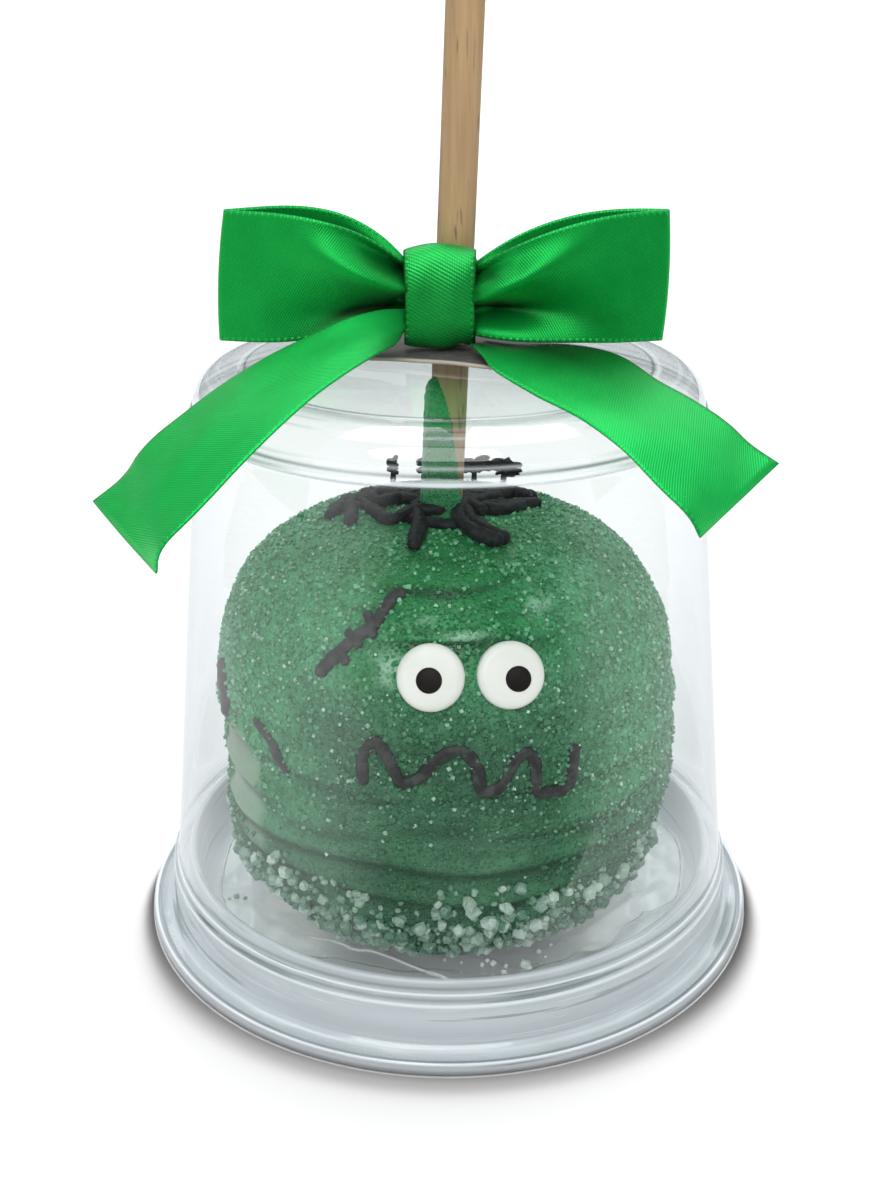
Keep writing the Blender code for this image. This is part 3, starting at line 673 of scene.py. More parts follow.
def together(forms: Sequence[Form]) -> Form:
    """Several forms as one.

    Args:
        forms: The forms, all with the same paint.

    Returns:
        The joined form.
    """
    starts = np.cumsum([0] + [len(form.points) for form in forms[:-1]])
    return Form(np.vstack([form.points for form in forms]),
                np.vstack([form.faces + start for form, start in zip(forms, starts)]),
                {key: np.concatenate([form.paint[key] for form in forms]) for key in forms[0].paint})


def grid_faces(rows: int, columns: int, closed: bool = False) -> Array:
    """Quads of points laid out row by row.

    Args:
        rows: Number of rows.
        columns: Points in a row.
        closed: Each row runs on from its last point to its first.

    Returns:
        Four point numbers for each quad.
    """
    start = np.arange(rows - 1)[:, None] * columns
    here = np.arange(columns if closed else columns - 1)[None, :]
    there = (here + 1) % columns
    quads = np.stack([start + here, start + there, start + columns + there, start + columns + here], axis=-1)
    return quads.reshape(-1, 4)


def rounded(outline: Sequence[Pair], reach: float, pieces: int = 4) -> list[Pair]:
    """Round the inner corners of an outline.

    Args:
        outline: Points in millimetres.
        reach: How far along each side a rounding starts, at most.
        pieces: Steps in each rounding.

    Returns:
        The rounded outline.
    """
    points = [np.array(point, dtype=float) for point in outline]
    result = [points[0]]
    for before, corner, after in zip(points, points[1:], points[2:]):
        back = before - corner
        on = after - corner
        near = min(reach, 0.45 * np.linalg.norm(back), 0.45 * np.linalg.norm(on))
        start = corner + back / np.linalg.norm(back) * near
        end = corner + on / np.linalg.norm(on) * near
        for step in range(pieces + 1):
            t = step / pieces
            result.append((1 - t) ** 2 * start + 2 * t * (1 - t) * corner + t * t * end)
    result.append(points[-1])
    return [(float(p[0]), float(p[1])) for p in result]


def turned(outline: Sequence[Pair], segments: int) -> Form:
    """Turn an outline of (radius, height) points about the vertical axis.

    Args:
        outline: Points in millimetres.
        segments: Sides of the turned form.

    Returns:
        The form, still with a point per segment where it meets the axis.
    """
    flat = np.array(outline, dtype=float)
    turn = np.arange(segments) / segments * tau
    points = np.stack([flat[:, :1] * np.cos(turn), flat[:, :1] * np.sin(turn),
                       np.repeat(flat[:, 1:], segments, axis=1)], axis=-1)
    return Form(points.reshape(-1, 3), grid_faces(len(flat), segments, closed=True))


def smooth_route(points: Sequence[Sequence[float]], spacing: float) -> Array:
    """Points about a spacing apart along a smooth curve through some points.

    Args:
        points: Points of three or more values. Only the first three set the spacing.
        spacing: Distance in millimetres.

    Returns:
        One row per point.
    """
    given = np.array([tuple(p) for p in points], dtype=float)
    padded = np.vstack([2 * given[0] - given[1], given, 2 * given[-1] - given[-2]])
    route = []
    for p0, p1, p2, p3 in zip(padded, padded[1:], padded[2:], padded[3:]):
        pieces = max(1, round(float(np.linalg.norm((p2 - p1)[:3])) / spacing))
        for t in np.arange(pieces) / pieces:
            route.append(0.5 * (2 * p1 + (p2 - p0) * t + (2 * p0 - 5 * p1 + 4 * p2 - p3) * t * t
                                + (3 * p1 - 3 * p2 + p3 - p0) * t ** 3))
    route.append(padded[-2])
    return np.array(route)


def lengths_along(route: Array) -> Array:
    """Length of the route up to each of its points, in millimetres."""
    steps = np.linalg.norm(np.diff(route[:, :3], axis=0), axis=1)
    return np.concatenate([[0.0], np.cumsum(steps)])


def piped(route: Array, outward: Array, width: float, height: float, seed: float,
          ragged: float = 0.14, sides: int = 12) -> Form:
    """A piped stroke with rounded ends and an uneven width.

    Args:
        route: Points along its middle.
        outward: Direction away from what it lies on, at each point.
        width: Half its width.
        height: Half its height.
        seed: Picks the unevenness.
        ragged: Share of its width by which its surface is rough.
        sides: Points round it.

    Returns:
        The stroke.
    """
    along = np.gradient(route, axis=0)
    along /= np.linalg.norm(along, axis=1)[:, None]
    side = np.cross(along, outward)
    side /= np.linalg.norm(side, axis=1)[:, None]
    up = np.cross(side, along)
    run = lengths_along(route)
    left = np.minimum(run, run[-1] - run)
    ends = np.sqrt(1.0 - (1.0 - np.clip(left / width, 0.0, 1.0)) ** 2)
    uneven = np.array([1.0 + 0.22 * noise((0.35 * s, seed, 1.7)) for s in run])
    scale = (ends * uneven)[:, None, None]
    turn = np.arange(sides) / sides * tau
    ring = (np.cos(turn)[None, :, None] * side[:, None, :] * width
            + np.sin(turn)[None, :, None] * up[:, None, :] * height)
    points = route[:, None, :] + ring * scale
    rough = [[noise(Vector(p) * 1.3 + Vector((seed, 0.0, 0.0))) for p in row] for row in points]
    points = route[:, None, :] + ring * scale * (1.0 + ragged * np.array(rough))[:, :, None]
    return Form(points.reshape(-1, 3), grid_faces(len(route), sides, closed=True))


def random_turns(count: int, draw: np.random.Generator) -> Array:
    """Rotation matrices spread evenly over all rotations.

    Args:
        count: How many.
        draw: Source of random numbers.

    Returns:
        One matrix each.
    """
    q = draw.normal(size=(count, 4))
    q /= np.linalg.norm(q, axis=1)[:, None]
    w, x, y, z = q.T
    return np.stack([
        np.stack([1 - 2 * (y * y + z * z), 2 * (x * y - z * w), 2 * (x * z + y * w)], axis=-1),
        np.stack([2 * (x * y + z * w), 1 - 2 * (x * x + z * z), 2 * (y * z - x * w)], axis=-1),
        np.stack([2 * (x * z - y * w), 2 * (y * z + x * w), 1 - 2 * (x * x + y * y)], axis=-1),
    ], axis=1)


def scattered(kinds: Sequence[tuple[Array, Array]], places: Array,
              sizes: Array, shades: Array, draw: np.random.Generator) -> Form:
    """Many turned copies of a few small shapes.

    Args:
        kinds: Points and faces of each shape, about a unit across.
        places: Where the copies go.
        sizes: Their sizes along their own three axes, in millimetres.
        shades: A value to paint on each copy.
        draw: Source of random numbers.

    Returns:
        The copies as one form, painted with their shades.
    """
    turns = random_turns(len(places), draw)
    pick = draw.integers(len(kinds), size=len(places))
    forms = []
    for number, (points, faces) in enumerate(kinds):
        chosen = np.flatnonzero(pick == number)
        local = points[None, :, :] * sizes[chosen][:, None, :]
        moved = np.einsum("nij,nkj->nki", turns[chosen], local) + places[chosen][:, None, :]
        base = (np.arange(len(chosen)) * len(points))[:, None, None]
        forms.append(Form(moved.reshape(-1, 3), (faces[None, :, :] + base).reshape(-1, faces.shape[1]),
                          {"shade": np.repeat(shades[chosen], len(points))}))
    return together(forms)


def cube_kind(chamfer: float) -> tuple[Array, Array]:
    """A unit sugar grain: a cube whose ends draw in.

    Args:
        chamfer: Share that its top and bottom draw in.

    Returns:
        Points and faces.
    """
    corners = np.array([(x, y, z) for z in (-0.5, 0.5) for x, y in
                        ((-0.5, -0.5), (0.5, -0.5), (0.5, 0.5), (-0.5, 0.5))])
    corners[4:, :2] *= 1.0 - chamfer
    faces = np.array([(3, 2, 1, 0), (4, 5, 6, 7), (0, 1, 5, 4), (1, 2, 6, 5), (2, 3, 7, 6), (3, 0, 4, 7)])
    return corners, faces


def nugget_kind(subdivisions: int, rough: float, seed: int) -> tuple[Array, Array]:
    """A lump of coarse sugar about a unit across.

    Args:
        subdivisions: Fineness of the ball that it starts as.
        rough: Share by which its surface stands in and out.
        seed: Picks its shape.

    Returns:
        Points and faces.
    """
    shape = bmesh.new()
    bmesh.ops.create_icosphere(shape, subdivisions=subdivisions, radius=0.5)
    points = []
    for vertex in shape.verts:
        way = vertex.co * 2.0
        block = sum(abs(value) ** 5 for value in way) ** -0.2
        lump = noise(way * 1.5 + Vector((seed * 7.3, seed * 1.9, 0.0)))
        chip = abs(noise(way * 3.2 + Vector((seed * 3.1, 0.0, seed * 5.7))))
        points.append(vertex.co * block * (1.0 + rough * (lump - 0.8 * chip)))
    faces = [[vertex.index for vertex in face.verts] for face in shape.faces]
    shape.free()
    return np.array(points), np.array(faces)


# ---- studio ----
@dataclass
class Studio:
    """Camera, lights and floor, which aren't part of the object."""

    camera_place: Triple = (0.0, -0.2388, 0.15896)
    camera_pitch: float = 23.12  # degrees below the horizon
    lens: float = 60.91
    picture_width: int = 896
    centre_shift: float = -1.0  # pixels that the view's middle lies off the axis
    floor_reach: float = 9.0
    sky: float = 0.45
    cloth: tuple[float, float, float, float] = (-0.085, -0.45, 0.6, 0.3)  # near, far, half width, top
    cloth_low: float = 0.001  # height that it lies above the floor
    collar: tuple[Pair, Pair] = ((0.05405, 0.0001), (0.0577, 0.0044))  # radius and height, twice
    collar_sides: int = 96
    dark: Colour = (0.02, 0.02, 0.02)
    lights: tuple[tuple[str, Pair, float, float], ...] = (
        ("top_light", (-18.0, 3.0), 78.0, 2.3), ("front_light", (48.0, -8.0), 50.0, 2.0))

    def camera(self) -> None:
        """Make the camera."""
        data = bpy.data.cameras.new("camera")
        data.sensor_fit = "HORIZONTAL"
        data.sensor_width = 36.0
        data.lens = self.lens
        data.shift_x = self.centre_shift / self.picture_width
        data.clip_start = 0.001
        data.clip_end = 50.0
        item = added("camera", data)
        item.location = self.camera_place
        item.rotation_euler = (radians(90.0 - self.camera_pitch), 0.0, 0.0)
        bpy.context.scene.camera = item

    def panel(self, name: str, points: Sequence[Triple], faces: Sequence[Sequence[int]],
              finish: Finish, seen: bool = False) -> Object:
        """Put up a panel of the stage.

        Args:
            name: Its name.
            points: Its points, in metres.
            faces: Its faces.
            finish: What it is covered with.
            seen: The camera sees it, on its own and through the plastic.

        Returns:
            The panel.
        """
        mesh = bpy.data.meshes.new(name)
        mesh.from_pydata(points, [], faces)
        mesh.materials.append(finish.material())
        item = added(name, mesh)
        item.visible_camera = seen
        item.visible_transmission = seen
        item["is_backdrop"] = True
        return item

    def floor(self) -> None:
        """Make the floor."""
        r = self.floor_reach
        square = [(-r, -r, 0.0), (r, -r, 0.0), (r, r, 0.0), (-r, r, 0.0)]
        self.panel("studio_floor", square, [(0, 1, 2, 3)], StudioFloor(), seen=True)

    def broad_light(self, name: str, tilt: Pair, spread: float, strength: float) -> None:
        """Hang a very large far softbox, which lights all the floor evenly.

        Args:
            name: Its name.
            tilt: Degrees that it hangs towards the camera and to the right of overhead.
            spread: Degrees of sky that it fills.
            strength: Its light on a surface that faces it, in watts per square metre.
        """
        data = bpy.data.lights.new(name, "SUN")
        data.angle = radians(spread)
        data.energy = strength
        added(name, data).rotation_euler = (radians(tilt[0]), radians(tilt[1]), 0.0)

    def flags(self) -> None:
        """Lay a black cloth in front for reflections, and a low dark collar round the pack's foot."""
        near, far, wide, top = self.cloth
        foot = self.cloth_low
        points = [(-wide, near, foot), (wide, near, foot), (wide, far, foot), (-wide, far, foot),
                  (wide, far, top), (-wide, far, top)]
        cloth = self.panel("black_cloth", points, [(0, 1, 2, 3), (3, 2, 4, 5)], FlagCloth())
        cloth.visible_shadow = False
        cloth.visible_diffuse = False
        (foot, low), (brim, high) = self.collar
        turns = np.arange(self.collar_sides) / self.collar_sides * tau
        heights = np.clip((-np.sin(turns) + 0.15) / 0.75, 0.04, 1.0)  # full in front, low behind
        points = [(foot * cos(t), foot * sin(t), low) for t in turns]
        points += [((foot + (brim - foot) * s) * cos(t), (foot + (brim - foot) * s) * sin(t),
                    low + (high - low) * s) for t, s in zip(turns, heights)]
        count = self.collar_sides
        faces = [(k, (k + 1) % count, count + (k + 1) % count, count + k) for k in range(count)]
        ring = self.panel("foot_collar", points, faces, StudioFloor(name="ring_card", colour=self.dark))
        ring.visible_glossy = False

    def build(self) -> None:
        """Set up the whole studio."""
        scene = bpy.context.scene
        scene.view_settings.view_transform = "Standard"
        world = bpy.data.worlds.new("studio_sky")
        world.use_nodes = True
        background = world.node_tree.nodes["Background"]
        background.inputs["Color"].default_value = (1.0, 1.0, 1.0, 1.0)
        background.inputs["Strength"].default_value = self.sky
        scene.world = world
        self.camera()
        self.floor()
        self.flags()
        for light in self.lights:
            self.broad_light(*light)
        LOG.info("studio ready")


# ---- the clear pack ----
def beside(x: float, y: float, start: Pair, end: Pair) -> Triple:
    """Where a point lies by a straight line.

    Args:
        x: The point's x.
        y: The point's y.
        start: Start of the line.
        end: End of the line.

    Returns:
        How far along the line it is, how far off to its side, and the line's length.
    """
    (x0, y0), (x1, y1) = start, end
    length = hypot(x1 - x0, y1 - y0)
    ux, uy = (x1 - x0) / length, (y1 - y0) / length
    return (x - x0) * ux + (y - y0) * uy, (x - x0) * uy - (y - y0) * ux, length


@dataclass(frozen=True)
class PaintedRing:
    """A ring of the clear pack painted darker (painted shade) or paler (painted highlight) than the plastic
    beside it.
    """

    radius: float
    height: float
    width: float
    # painted shade and painted highlight, each a share
    dark: float = 0.0
    pale: float = 0.0


@dataclass
class ClearPack:
    """The flared base and the dome that closes on it."""

    rim: float = 54.0
    lip_top: float = 1.3
    plug: float = 47.0
    plug_inner: float = 44.8
    plug_top: float = 12.4
    floor: float = 0.6
    dome_lip: float = 52.6
    skirt: float = 49.7
    skirt_foot: float = 3.2
    skirt_top: float = 10.2
    wall_foot: Pair = (48.9, 11.4)
    wall_top: Pair = (41.0, 90.7)
    bead: Pair = (41.85, 91.4)
    cap: Pair = (41.2, 92.6)
    shoulder: float = 5.8
    crease: Pair = (32.6, 98.2)
    crown: float = 100.7
    hole: float = 3.85
    segments: int = 144
    spacing: float = 0.6  # of the rings, and fine_spacing near the painted rings
    fine_spacing: float = 0.14
    # Painted rings: radius, height, width, painted shade and painted highlight.
    base_painted_rings: tuple[PaintedRing, ...] = (
        PaintedRing(53.8, 0.8, 1.0, pale=0.6), PaintedRing(42.6, 0.9, 4.6, pale=0.5),
        PaintedRing(54.0, 0.45, 0.45, pale=0.45), PaintedRing(53.3, 2.1, 0.3, pale=0.45),
        PaintedRing(53.75, 1.75, 0.14, dark=0.5), PaintedRing(50.6, 1.0, 2.4, pale=0.28), PaintedRing(46.8, 12.3, 0.3, pale=0.6),
        PaintedRing(47.1, 11.0, 0.35, dark=0.35), PaintedRing(44.9, 12.2, 0.22, pale=0.5), PaintedRing(44.6, 1.3, 0.5, dark=0.45),
        PaintedRing(39.4, 0.9, 0.35, dark=0.3), PaintedRing(48.2, 1.2, 0.4, pale=0.3))
    dome_painted_rings: tuple[PaintedRing, ...] = (
        PaintedRing(20.0, 100.0, 14.0, dark=0.3), PaintedRing(49.7, 6.4, 4.4, pale=0.58),
        PaintedRing(52.6, 1.8, 0.3, dark=0.65), PaintedRing(50.9, 2.1, 0.9, pale=0.25),
        PaintedRing(49.8, 3.0, 0.26, dark=0.5), PaintedRing(49.7, 9.9, 0.3, pale=0.8),
        PaintedRing(49.4, 10.8, 0.28, dark=0.75), PaintedRing(48.9, 11.5, 0.26, pale=0.7),
        PaintedRing(48.75, 12.5, 0.3, dark=0.5), PaintedRing(41.3, 90.75, 0.18, dark=0.8),
        PaintedRing(41.8, 91.4, 0.55, pale=1.1), PaintedRing(41.85, 91.95, 0.1, dark=0.8),
        PaintedRing(41.3, 92.55, 0.3, dark=1.0), PaintedRing(41.0, 93.6, 0.3, pale=0.4),
        PaintedRing(36.9, 98.0, 0.3, pale=0.3), PaintedRing(38.6, 97.2, 0.3, pale=0.25),
        PaintedRing(32.6, 98.25, 0.26, dark=1.0), PaintedRing(33.5, 98.2, 0.4, pale=0.5))
    base_milk_and_light: Pair = (0.6, 30.0)  # strength of the pale veil on its sides and back low down, partly milkiness and partly painted light, and height where that ends
    dome_milk_and_light: Pair = (0.19, 36.0)
    base_block: float = 0.45  # share of light that its thick rim keeps back
    dome_block: float = 0.2
    milk_and_light_side: Pair = (26.0, 32.0)  # degrees from the front where that pale veil starts, and over how many
    milk_and_light_fall: float = 22.0  # height over which that dies out
    painted_ring_reach: float = 1.2  # how near a painted ring the mesh's rings come close together
    long_side: float = 6.0  # a longer straight side keeps its wide rings

    def close_rings(self, outline: Sequence[Pair], painted_rings: Sequence[PaintedRing]) -> list[Pair]:
        """Add rings to an outline, close together near its painted rings.

        Args:
            outline: Radius and height of its points.
            painted_rings: The painted rings on it.

        Returns:
            The finer outline.
        """
        points = [np.array(point, dtype=float) for point in outline]
        result: list[Pair] = []
        for start, end in zip(points, points[1:]):
            length = float(np.linalg.norm(end - start))
            middle = (start + end) / 2
            away = min(hypot(ring_mark.radius - middle[0], ring_mark.height - middle[1]) for ring_mark in painted_rings)
            step = max(self.spacing, length / 60)
            if away < self.painted_ring_reach + length / 2:
                step = self.spacing if length > self.long_side else self.fine_spacing
            pieces = max(1, round(length / step))
            result += [tuple(start + (end - start) * k / pieces) for k in range(pieces)]
        result.append(tuple(points[-1]))
        return result

    def shell(self, outline: Sequence[Pair], painted_rings: Sequence[PaintedRing], block: Pair, milk_and_light: Pair) -> Form:
        """Turn an outline and paint the painted shade and highlights of its rings.

        Args:
            outline: Radius and height of its points.
            painted_rings: Rings with painted shade or painted highlights.
            block: Radius outside which the plastic keeps light back, and how much of it.
            milk_and_light: Strength of the pale veil on its sides and back low down, partly milkiness and
                partly painted light, and the height at which that ends.

        Returns:
            The painted form.
        """
        fine = self.close_rings(outline, painted_rings)
        # Painted shade and painted highlights of the rings.
        dark, pale = [], []
        for radius, height in fine:
            near = [(ring_mark, exp(-((radius - ring_mark.radius) ** 2 + (height - ring_mark.height) ** 2)
                               / ring_mark.width ** 2)) for ring_mark in painted_rings]
            dark.append(min(1.0, sum(ring_mark.dark * share for ring_mark, share in near)))
            pale.append(min(1.0, sum(ring_mark.pale * share for ring_mark, share in near)))
        form = turned(fine, self.segments)
        # A pale veil on the sides and back low down: partly milkiness of the plastic, partly painted light.
        side = np.degrees(np.arctan2(form.points[:, 0], -form.points[:, 1]))
        milk_and_light_share = milk_and_light[0] * rise(np.abs(side), *self.milk_and_light_side)
        milk_and_light_share *= rise(form.points[:, 2], milk_and_light[1], -self.milk_and_light_fall)
        milk_and_light_share *= rise(np.hypot(form.points[:, 0], form.points[:, 1]), self.skirt + 0.4, -1.5)
        form.paint = {"dark": np.repeat(dark, self.segments),
                      "pale": np.repeat(pale, self.segments) + milk_and_light_share,
                      "block": np.repeat([block[1] if radius > block[0] else 0.0 for radius, _ in fine],
                                         self.segments)}
        return form

    def base(self) -> None:
        """Make the base: floor, raised ring and lip."""
        floor, inner, plug, top = self.floor, self.plug_inner, self.plug, self.plug_top
        lip, brim, rim = self.lip_top, self.dome_lip, self.rim
        outline = rounded([
            (0.0, floor), (inner - 6.0, floor), (inner - 5.2, floor + 0.5), (inner - 2.0, floor + 0.5),
            (inner, floor + 0.7), (inner + 0.5, top - 1.0), (inner + 0.9, top), (plug - 0.5, top),
            (plug, top - 0.9), (plug + 0.6, lip + 1.2), (plug + 1.2, lip - 0.3), (brim + 0.2, lip - 0.3),
            (brim + 0.45, lip + 0.75), (rim - 0.35, lip + 0.75), (rim, lip - 0.3), (rim - 0.15, 0.15),
            (rim - 1.4, 0.12), (rim - 1.7, 0.75), (rim - 4.0, 0.8),
        ], 0.45)
        form = self.shell(outline, self.base_painted_rings, (brim + 0.2, self.base_block), self.base_milk_and_light)
        # Its haze carries a painted glow.
        finish = ClearPlastic(name="base_plastic", haze=0.33, scuffs=0.14, edge_tint=(0.72, 0.77, 0.81),
                              haze_colour=(0.84, 0.885, 0.92), tint=(0.98, 0.985, 0.99), painted_glow=0.04)
        form.piece("base_shell", finish, Slot.PLASTIC, node="base_tray", weld=True)

    def dome(self) -> None:
        """Make the dome: lip, skirt, tapered wall, rib, shoulder and crown with its hole."""
        centre = (self.cap[0] - self.shoulder, self.crease[1] - self.shoulder)
        arc = [(centre[0] + self.shoulder * cos(a), centre[1] + self.shoulder * sin(a))
               for a in np.radians(np.linspace(2.0, 90.0, 13))]
        crown = []
        for share in np.linspace(1.0, 0.0, 9):
            radius = self.hole + (self.crease[0] - self.hole) * share
            crown.append((radius, self.crown - (self.crown - self.crease[1] - 0.15) * share ** 2))
        lip, brim, skirt = self.lip_top + 0.3, self.dome_lip, self.skirt
        wall, bead = self.wall_foot, self.bead
        outline = rounded([
            (brim, lip - 0.05), (brim - 0.1, lip + 0.45), (skirt + 1.0, lip + 0.45), (skirt, self.skirt_foot),
            (skirt, self.skirt_top), wall, (wall[0] - 0.25, wall[1] + 1.6), self.wall_top, bead,
            (bead[0] - 0.1, bead[1] + 0.6), self.cap, *arc, (self.crease[0] + 0.5, self.crease[1]), *crown,
            (self.hole - 0.15, self.crown - 0.5),
        ], 0.5)
        form = self.shell(outline, self.dome_painted_rings, (skirt + 0.6, self.dome_block), self.dome_milk_and_light)
        form.piece("dome_shell", ClearPlastic(name="dome_plastic"), Slot.PLASTIC, node="dome", weld=True)

    def build(self) -> None:
        """Make the pack."""
        self.base()
        self.dome()


@dataclass
class FilmSheet:
    """A creased sheet of clear film that the apple stands on, with a few crumbs of sugar."""

    outline: tuple[Pair, ...] = (
        (-41.5, -8.0), (-38.5, -17.5), (-24.0, -29.0), (-4.0, -31.8), (0.8, -34.6), (5.4, -36.2),
        (8.3, -36.0), (13.8, -31.9), (24.0, -27.3), (34.6, -15.2), (41.2, -10.2), (43.3, 2.0),
        (42.4, 9.0), (35.0, 23.0), (21.0, 35.0), (2.0, 38.5), (-19.0, 35.0), (-34.0, 23.0), (-41.5, 6.0))
    creases: tuple[tuple[Pair, Pair, float], ...] = (
        ((-24.1, -23.7), (1.0, -33.0), 1.1), ((17.6, -26.0), (38.0, -9.0), 1.3),
        ((-40.0, -12.0), (-14.0, -34.0), 0.8), ((30.0, -26.0), (36.0, 12.0), 1.0),
        ((-36.0, 4.0), (-30.0, 30.0), 1.0), ((3.0, -29.0), (22.0, -34.0), 0.9),
        ((-20.0, 28.0), (16.0, 38.0), 1.0), ((-33.0, -28.0), (-37.0, 2.0), 0.9))
    crumbs: tuple[Triple, ...] = (
        (-0.7, -28.2, 0.5), (2.1, -29.6, 0.5), (5.5, -30.9, 0.75), (7.3, -30.9, 0.9), (6.4, -30.2, 0.6),
        (9.5, -31.2, 0.6), (9.0, -33.0, 0.85), (12.7, -30.0, 1.5), (13.4, -31.4, 0.8), (15.2, -26.6, 0.7),
        (17.3, -25.2, 0.5), (16.2, -28.4, 0.45), (-38.0, -10.4, 0.9), (-36.4, -11.0, 0.6),
        (-39.0, -12.0, 0.5))
    level: float = 1.35
    flat: float = 25.0
    curl: float = 3.6
    widest: float = 43.5
    turns: int = 320
    rings: int = 84
    glint: tuple[Pair, ...] = ((-24.1, -23.7), (-14.0, -28.3), (-4.0, -31.4), (1.2, -34.6))
    glint_width: float = 0.24
    crease_width: float = 2.6
    edge_shade: Pair = (0.984, 0.7)  # share of the way out where the painted dark edge begins, and how dark it is
    milk_and_light_reach: Pair = (15.0, 11.0)  # distance to the side where its pale veil starts, partly milkiness and partly painted light, and over how much
    cloud: Triple = (0.48, 0.25, 0.2)  # strength of that pale veil, its unevenness and how close together that is

    def reach(self, turn: float) -> float:
        """Distance from the axis to the film's edge.

        Args:
            turn: Direction, in radians.

        Returns:
            The distance in millimetres.
        """
        turns = np.array([atan2(y, x) % tau for x, y in self.outline])
        reaches = np.array([hypot(x, y) for x, y in self.outline])
        order = np.argsort(turns)
        return float(np.interp(turn % tau, turns[order], reaches[order], period=tau))

    def height(self, x: float, y: float) -> float:
        """Level of the film.

        Args:
            x: Place on it.
            y: Place on it.

        Returns:
            The height in millimetres.
        """
        turn = atan2(y, x)
        distance = hypot(x, y)
        lift = max(0.0, (distance - self.flat) / (self.widest - self.flat))
        wave = 0.5 + 0.3 * sin(5 * turn + 0.4) + 0.2 * sin(9 * turn + 1.9)
        crumple = sum(abs(noise((x * f, y * f, 3.0 * f))) / f for f in (0.05, 0.11, 0.23)) * 0.13
        fold = 0.0
        for start, end, height in self.creases:
            along, across, length = beside(x, y, start, end)
            inside = rise(min(along + 3.0, length + 3.0 - along), 0.0, 5.0)
            fold += height * inside * max(0.0, 1.0 - abs(across) / self.crease_width)
        open_share = rise(distance - self.flat + 2.0, 0.0, 5.0)
        return self.level + self.curl * lift ** 1.5 * wave + (crumple + fold) * open_share

    def glints(self, x: float, y: float) -> float:
        """How strongly a crease catches the light at a place of the film.

        Args:
            x: Place on it.
            y: Place on it.

        Returns:
            A share from 0 to 1.
        """
        best = 0.0
        for start, end in zip(self.glint, self.glint[1:]):
            along, across, length = beside(x, y, start, end)
            if -0.2 < along < length + 0.2:
                best = max(best, exp(-(across / self.glint_width) ** 2))
        return best

    def sheet(self) -> None:
        """Make the film."""
        points, dark, pale = [], [], []
        milk_and_light, uneven, per = self.cloud
        shares = list((np.arange(self.rings) / self.rings) ** 0.75) + [0.985, 0.993, 1.0]
        for share in shares:
            for turn in np.arange(self.turns) / self.turns * tau:
                distance = self.reach(turn) * share
                x, y = distance * cos(turn), distance * sin(turn)
                points.append((x, y, self.height(x, y)))
                # Painted shade along the edge, painted highlights on the creases, and a pale veil on the
                # sides that is partly milkiness and partly painted light.
                dark.append(self.edge_shade[1] if share > self.edge_shade[0] else 0.0)
                cloud = milk_and_light + uneven * noise((x * per, y * per, 0.0))
                pale.append(max(self.glints(x, y), rise(abs(x), *self.milk_and_light_reach) * cloud))
        spots = np.array(points)
        form = Form(spots, grid_faces(len(shares), self.turns, closed=True),
                    {"dark": np.array(dark), "pale": np.array(pale), "block": np.zeros(len(spots))})
        # Its haze carries a painted glow.
        finish = ClearPlastic(name="clear_film", tint=(0.8, 0.82, 0.83), edge_tint=(0.45, 0.48, 0.5),
                              haze=0.05, scuffs=0.16, roughness=0.1, head_on=0.05,
                              haze_colour=(0.93, 0.965, 0.95), lines=0.0, painted_glow=0.25)
        form.piece("crinkled_film", finish, Slot.FILM, node="film_sheet", weld=True)

    def loose_crumbs(self) -> None:
        """Drop the crumbs of sugar on the film."""
        draw = np.random.default_rng(5)
        places = np.array([(x, y, self.height(x, y) + size * 0.38) for x, y, size in self.crumbs])
        sizes = np.array([size for _, _, size in self.crumbs])[:, None]
        sizes = sizes * draw.uniform(0.85, 1.15, (len(places), 3))
        shades = np.where(places[:, 0] < -30.0, 0.0, 0.9)
        form = scattered([nugget_kind(3, 0.2, seed) for seed in (21, 22)], places, sizes, shades, draw)
        finish = Grains(name="crumb_sugar", dim=(0.1, 0.34, 0.17), dark=(0.1, 0.34, 0.17),
                        pale=(0.86, 0.9, 0.86), relief=0.15)
        form.piece("loose_crumbs", finish, Slot.COATING)

    def build(self) -> None:
        """Make the film and its crumbs."""
        self.sheet()
        self.loose_crumbs()


# ---- stick ----
@dataclass
class Stick:
    """The wooden stick and the places along its leaning axis."""

    radius: float = 2.95
    foot: Triple = (-2.45, 0.0, 31.0)
    length: float = 140.0
    lean: float = radians(2.3)
    sides: int = 56
    ease: float = 0.4  # rounding of its ends

    def axis(self, height: float) -> Array:
        """The point of the stick's axis at a height."""
        return np.array([self.foot[0] + (height - self.foot[2]) * tan(self.lean), self.foot[1], height])

    def around(self, height: float, turn: float, radius: float) -> Triple:
        """The point at a height, by its turn from +X and its distance from the stick's axis."""
        axis = self.axis(height)
        return (axis[0] + radius * cos(turn), axis[1] + radius * sin(turn), height)

    def build(self) -> None:
        """Make the stick with eased ends and a slightly uneven side."""
        ease = self.ease
        outline = [(0.0, 0.0), (self.radius - ease, 0.0), (self.radius, ease)]
        outline += [(self.radius, z) for z in np.linspace(2.0, self.length - 2.0, 70)]
        outline += [(self.radius, self.length - ease), (self.radius - ease, self.length), (0.0, self.length)]
        form = turned(outline, self.sides)
        for point in form.points:
            if 1.0 < point[2] < self.length - 1.0:
                uneven = 1.0 + 0.012 * noise((point[0] * 0.5, point[1] * 0.5, point[2] * 0.05))
                point[:2] *= uneven
        place = Matrix.Rotation(self.lean, 3, "Y")
        form.points = form.points @ np.array(place).T + np.array(self.foot)
        form.piece("wooden_stick", PlainWood(), Slot.WOOD, node="stick", weld=True)


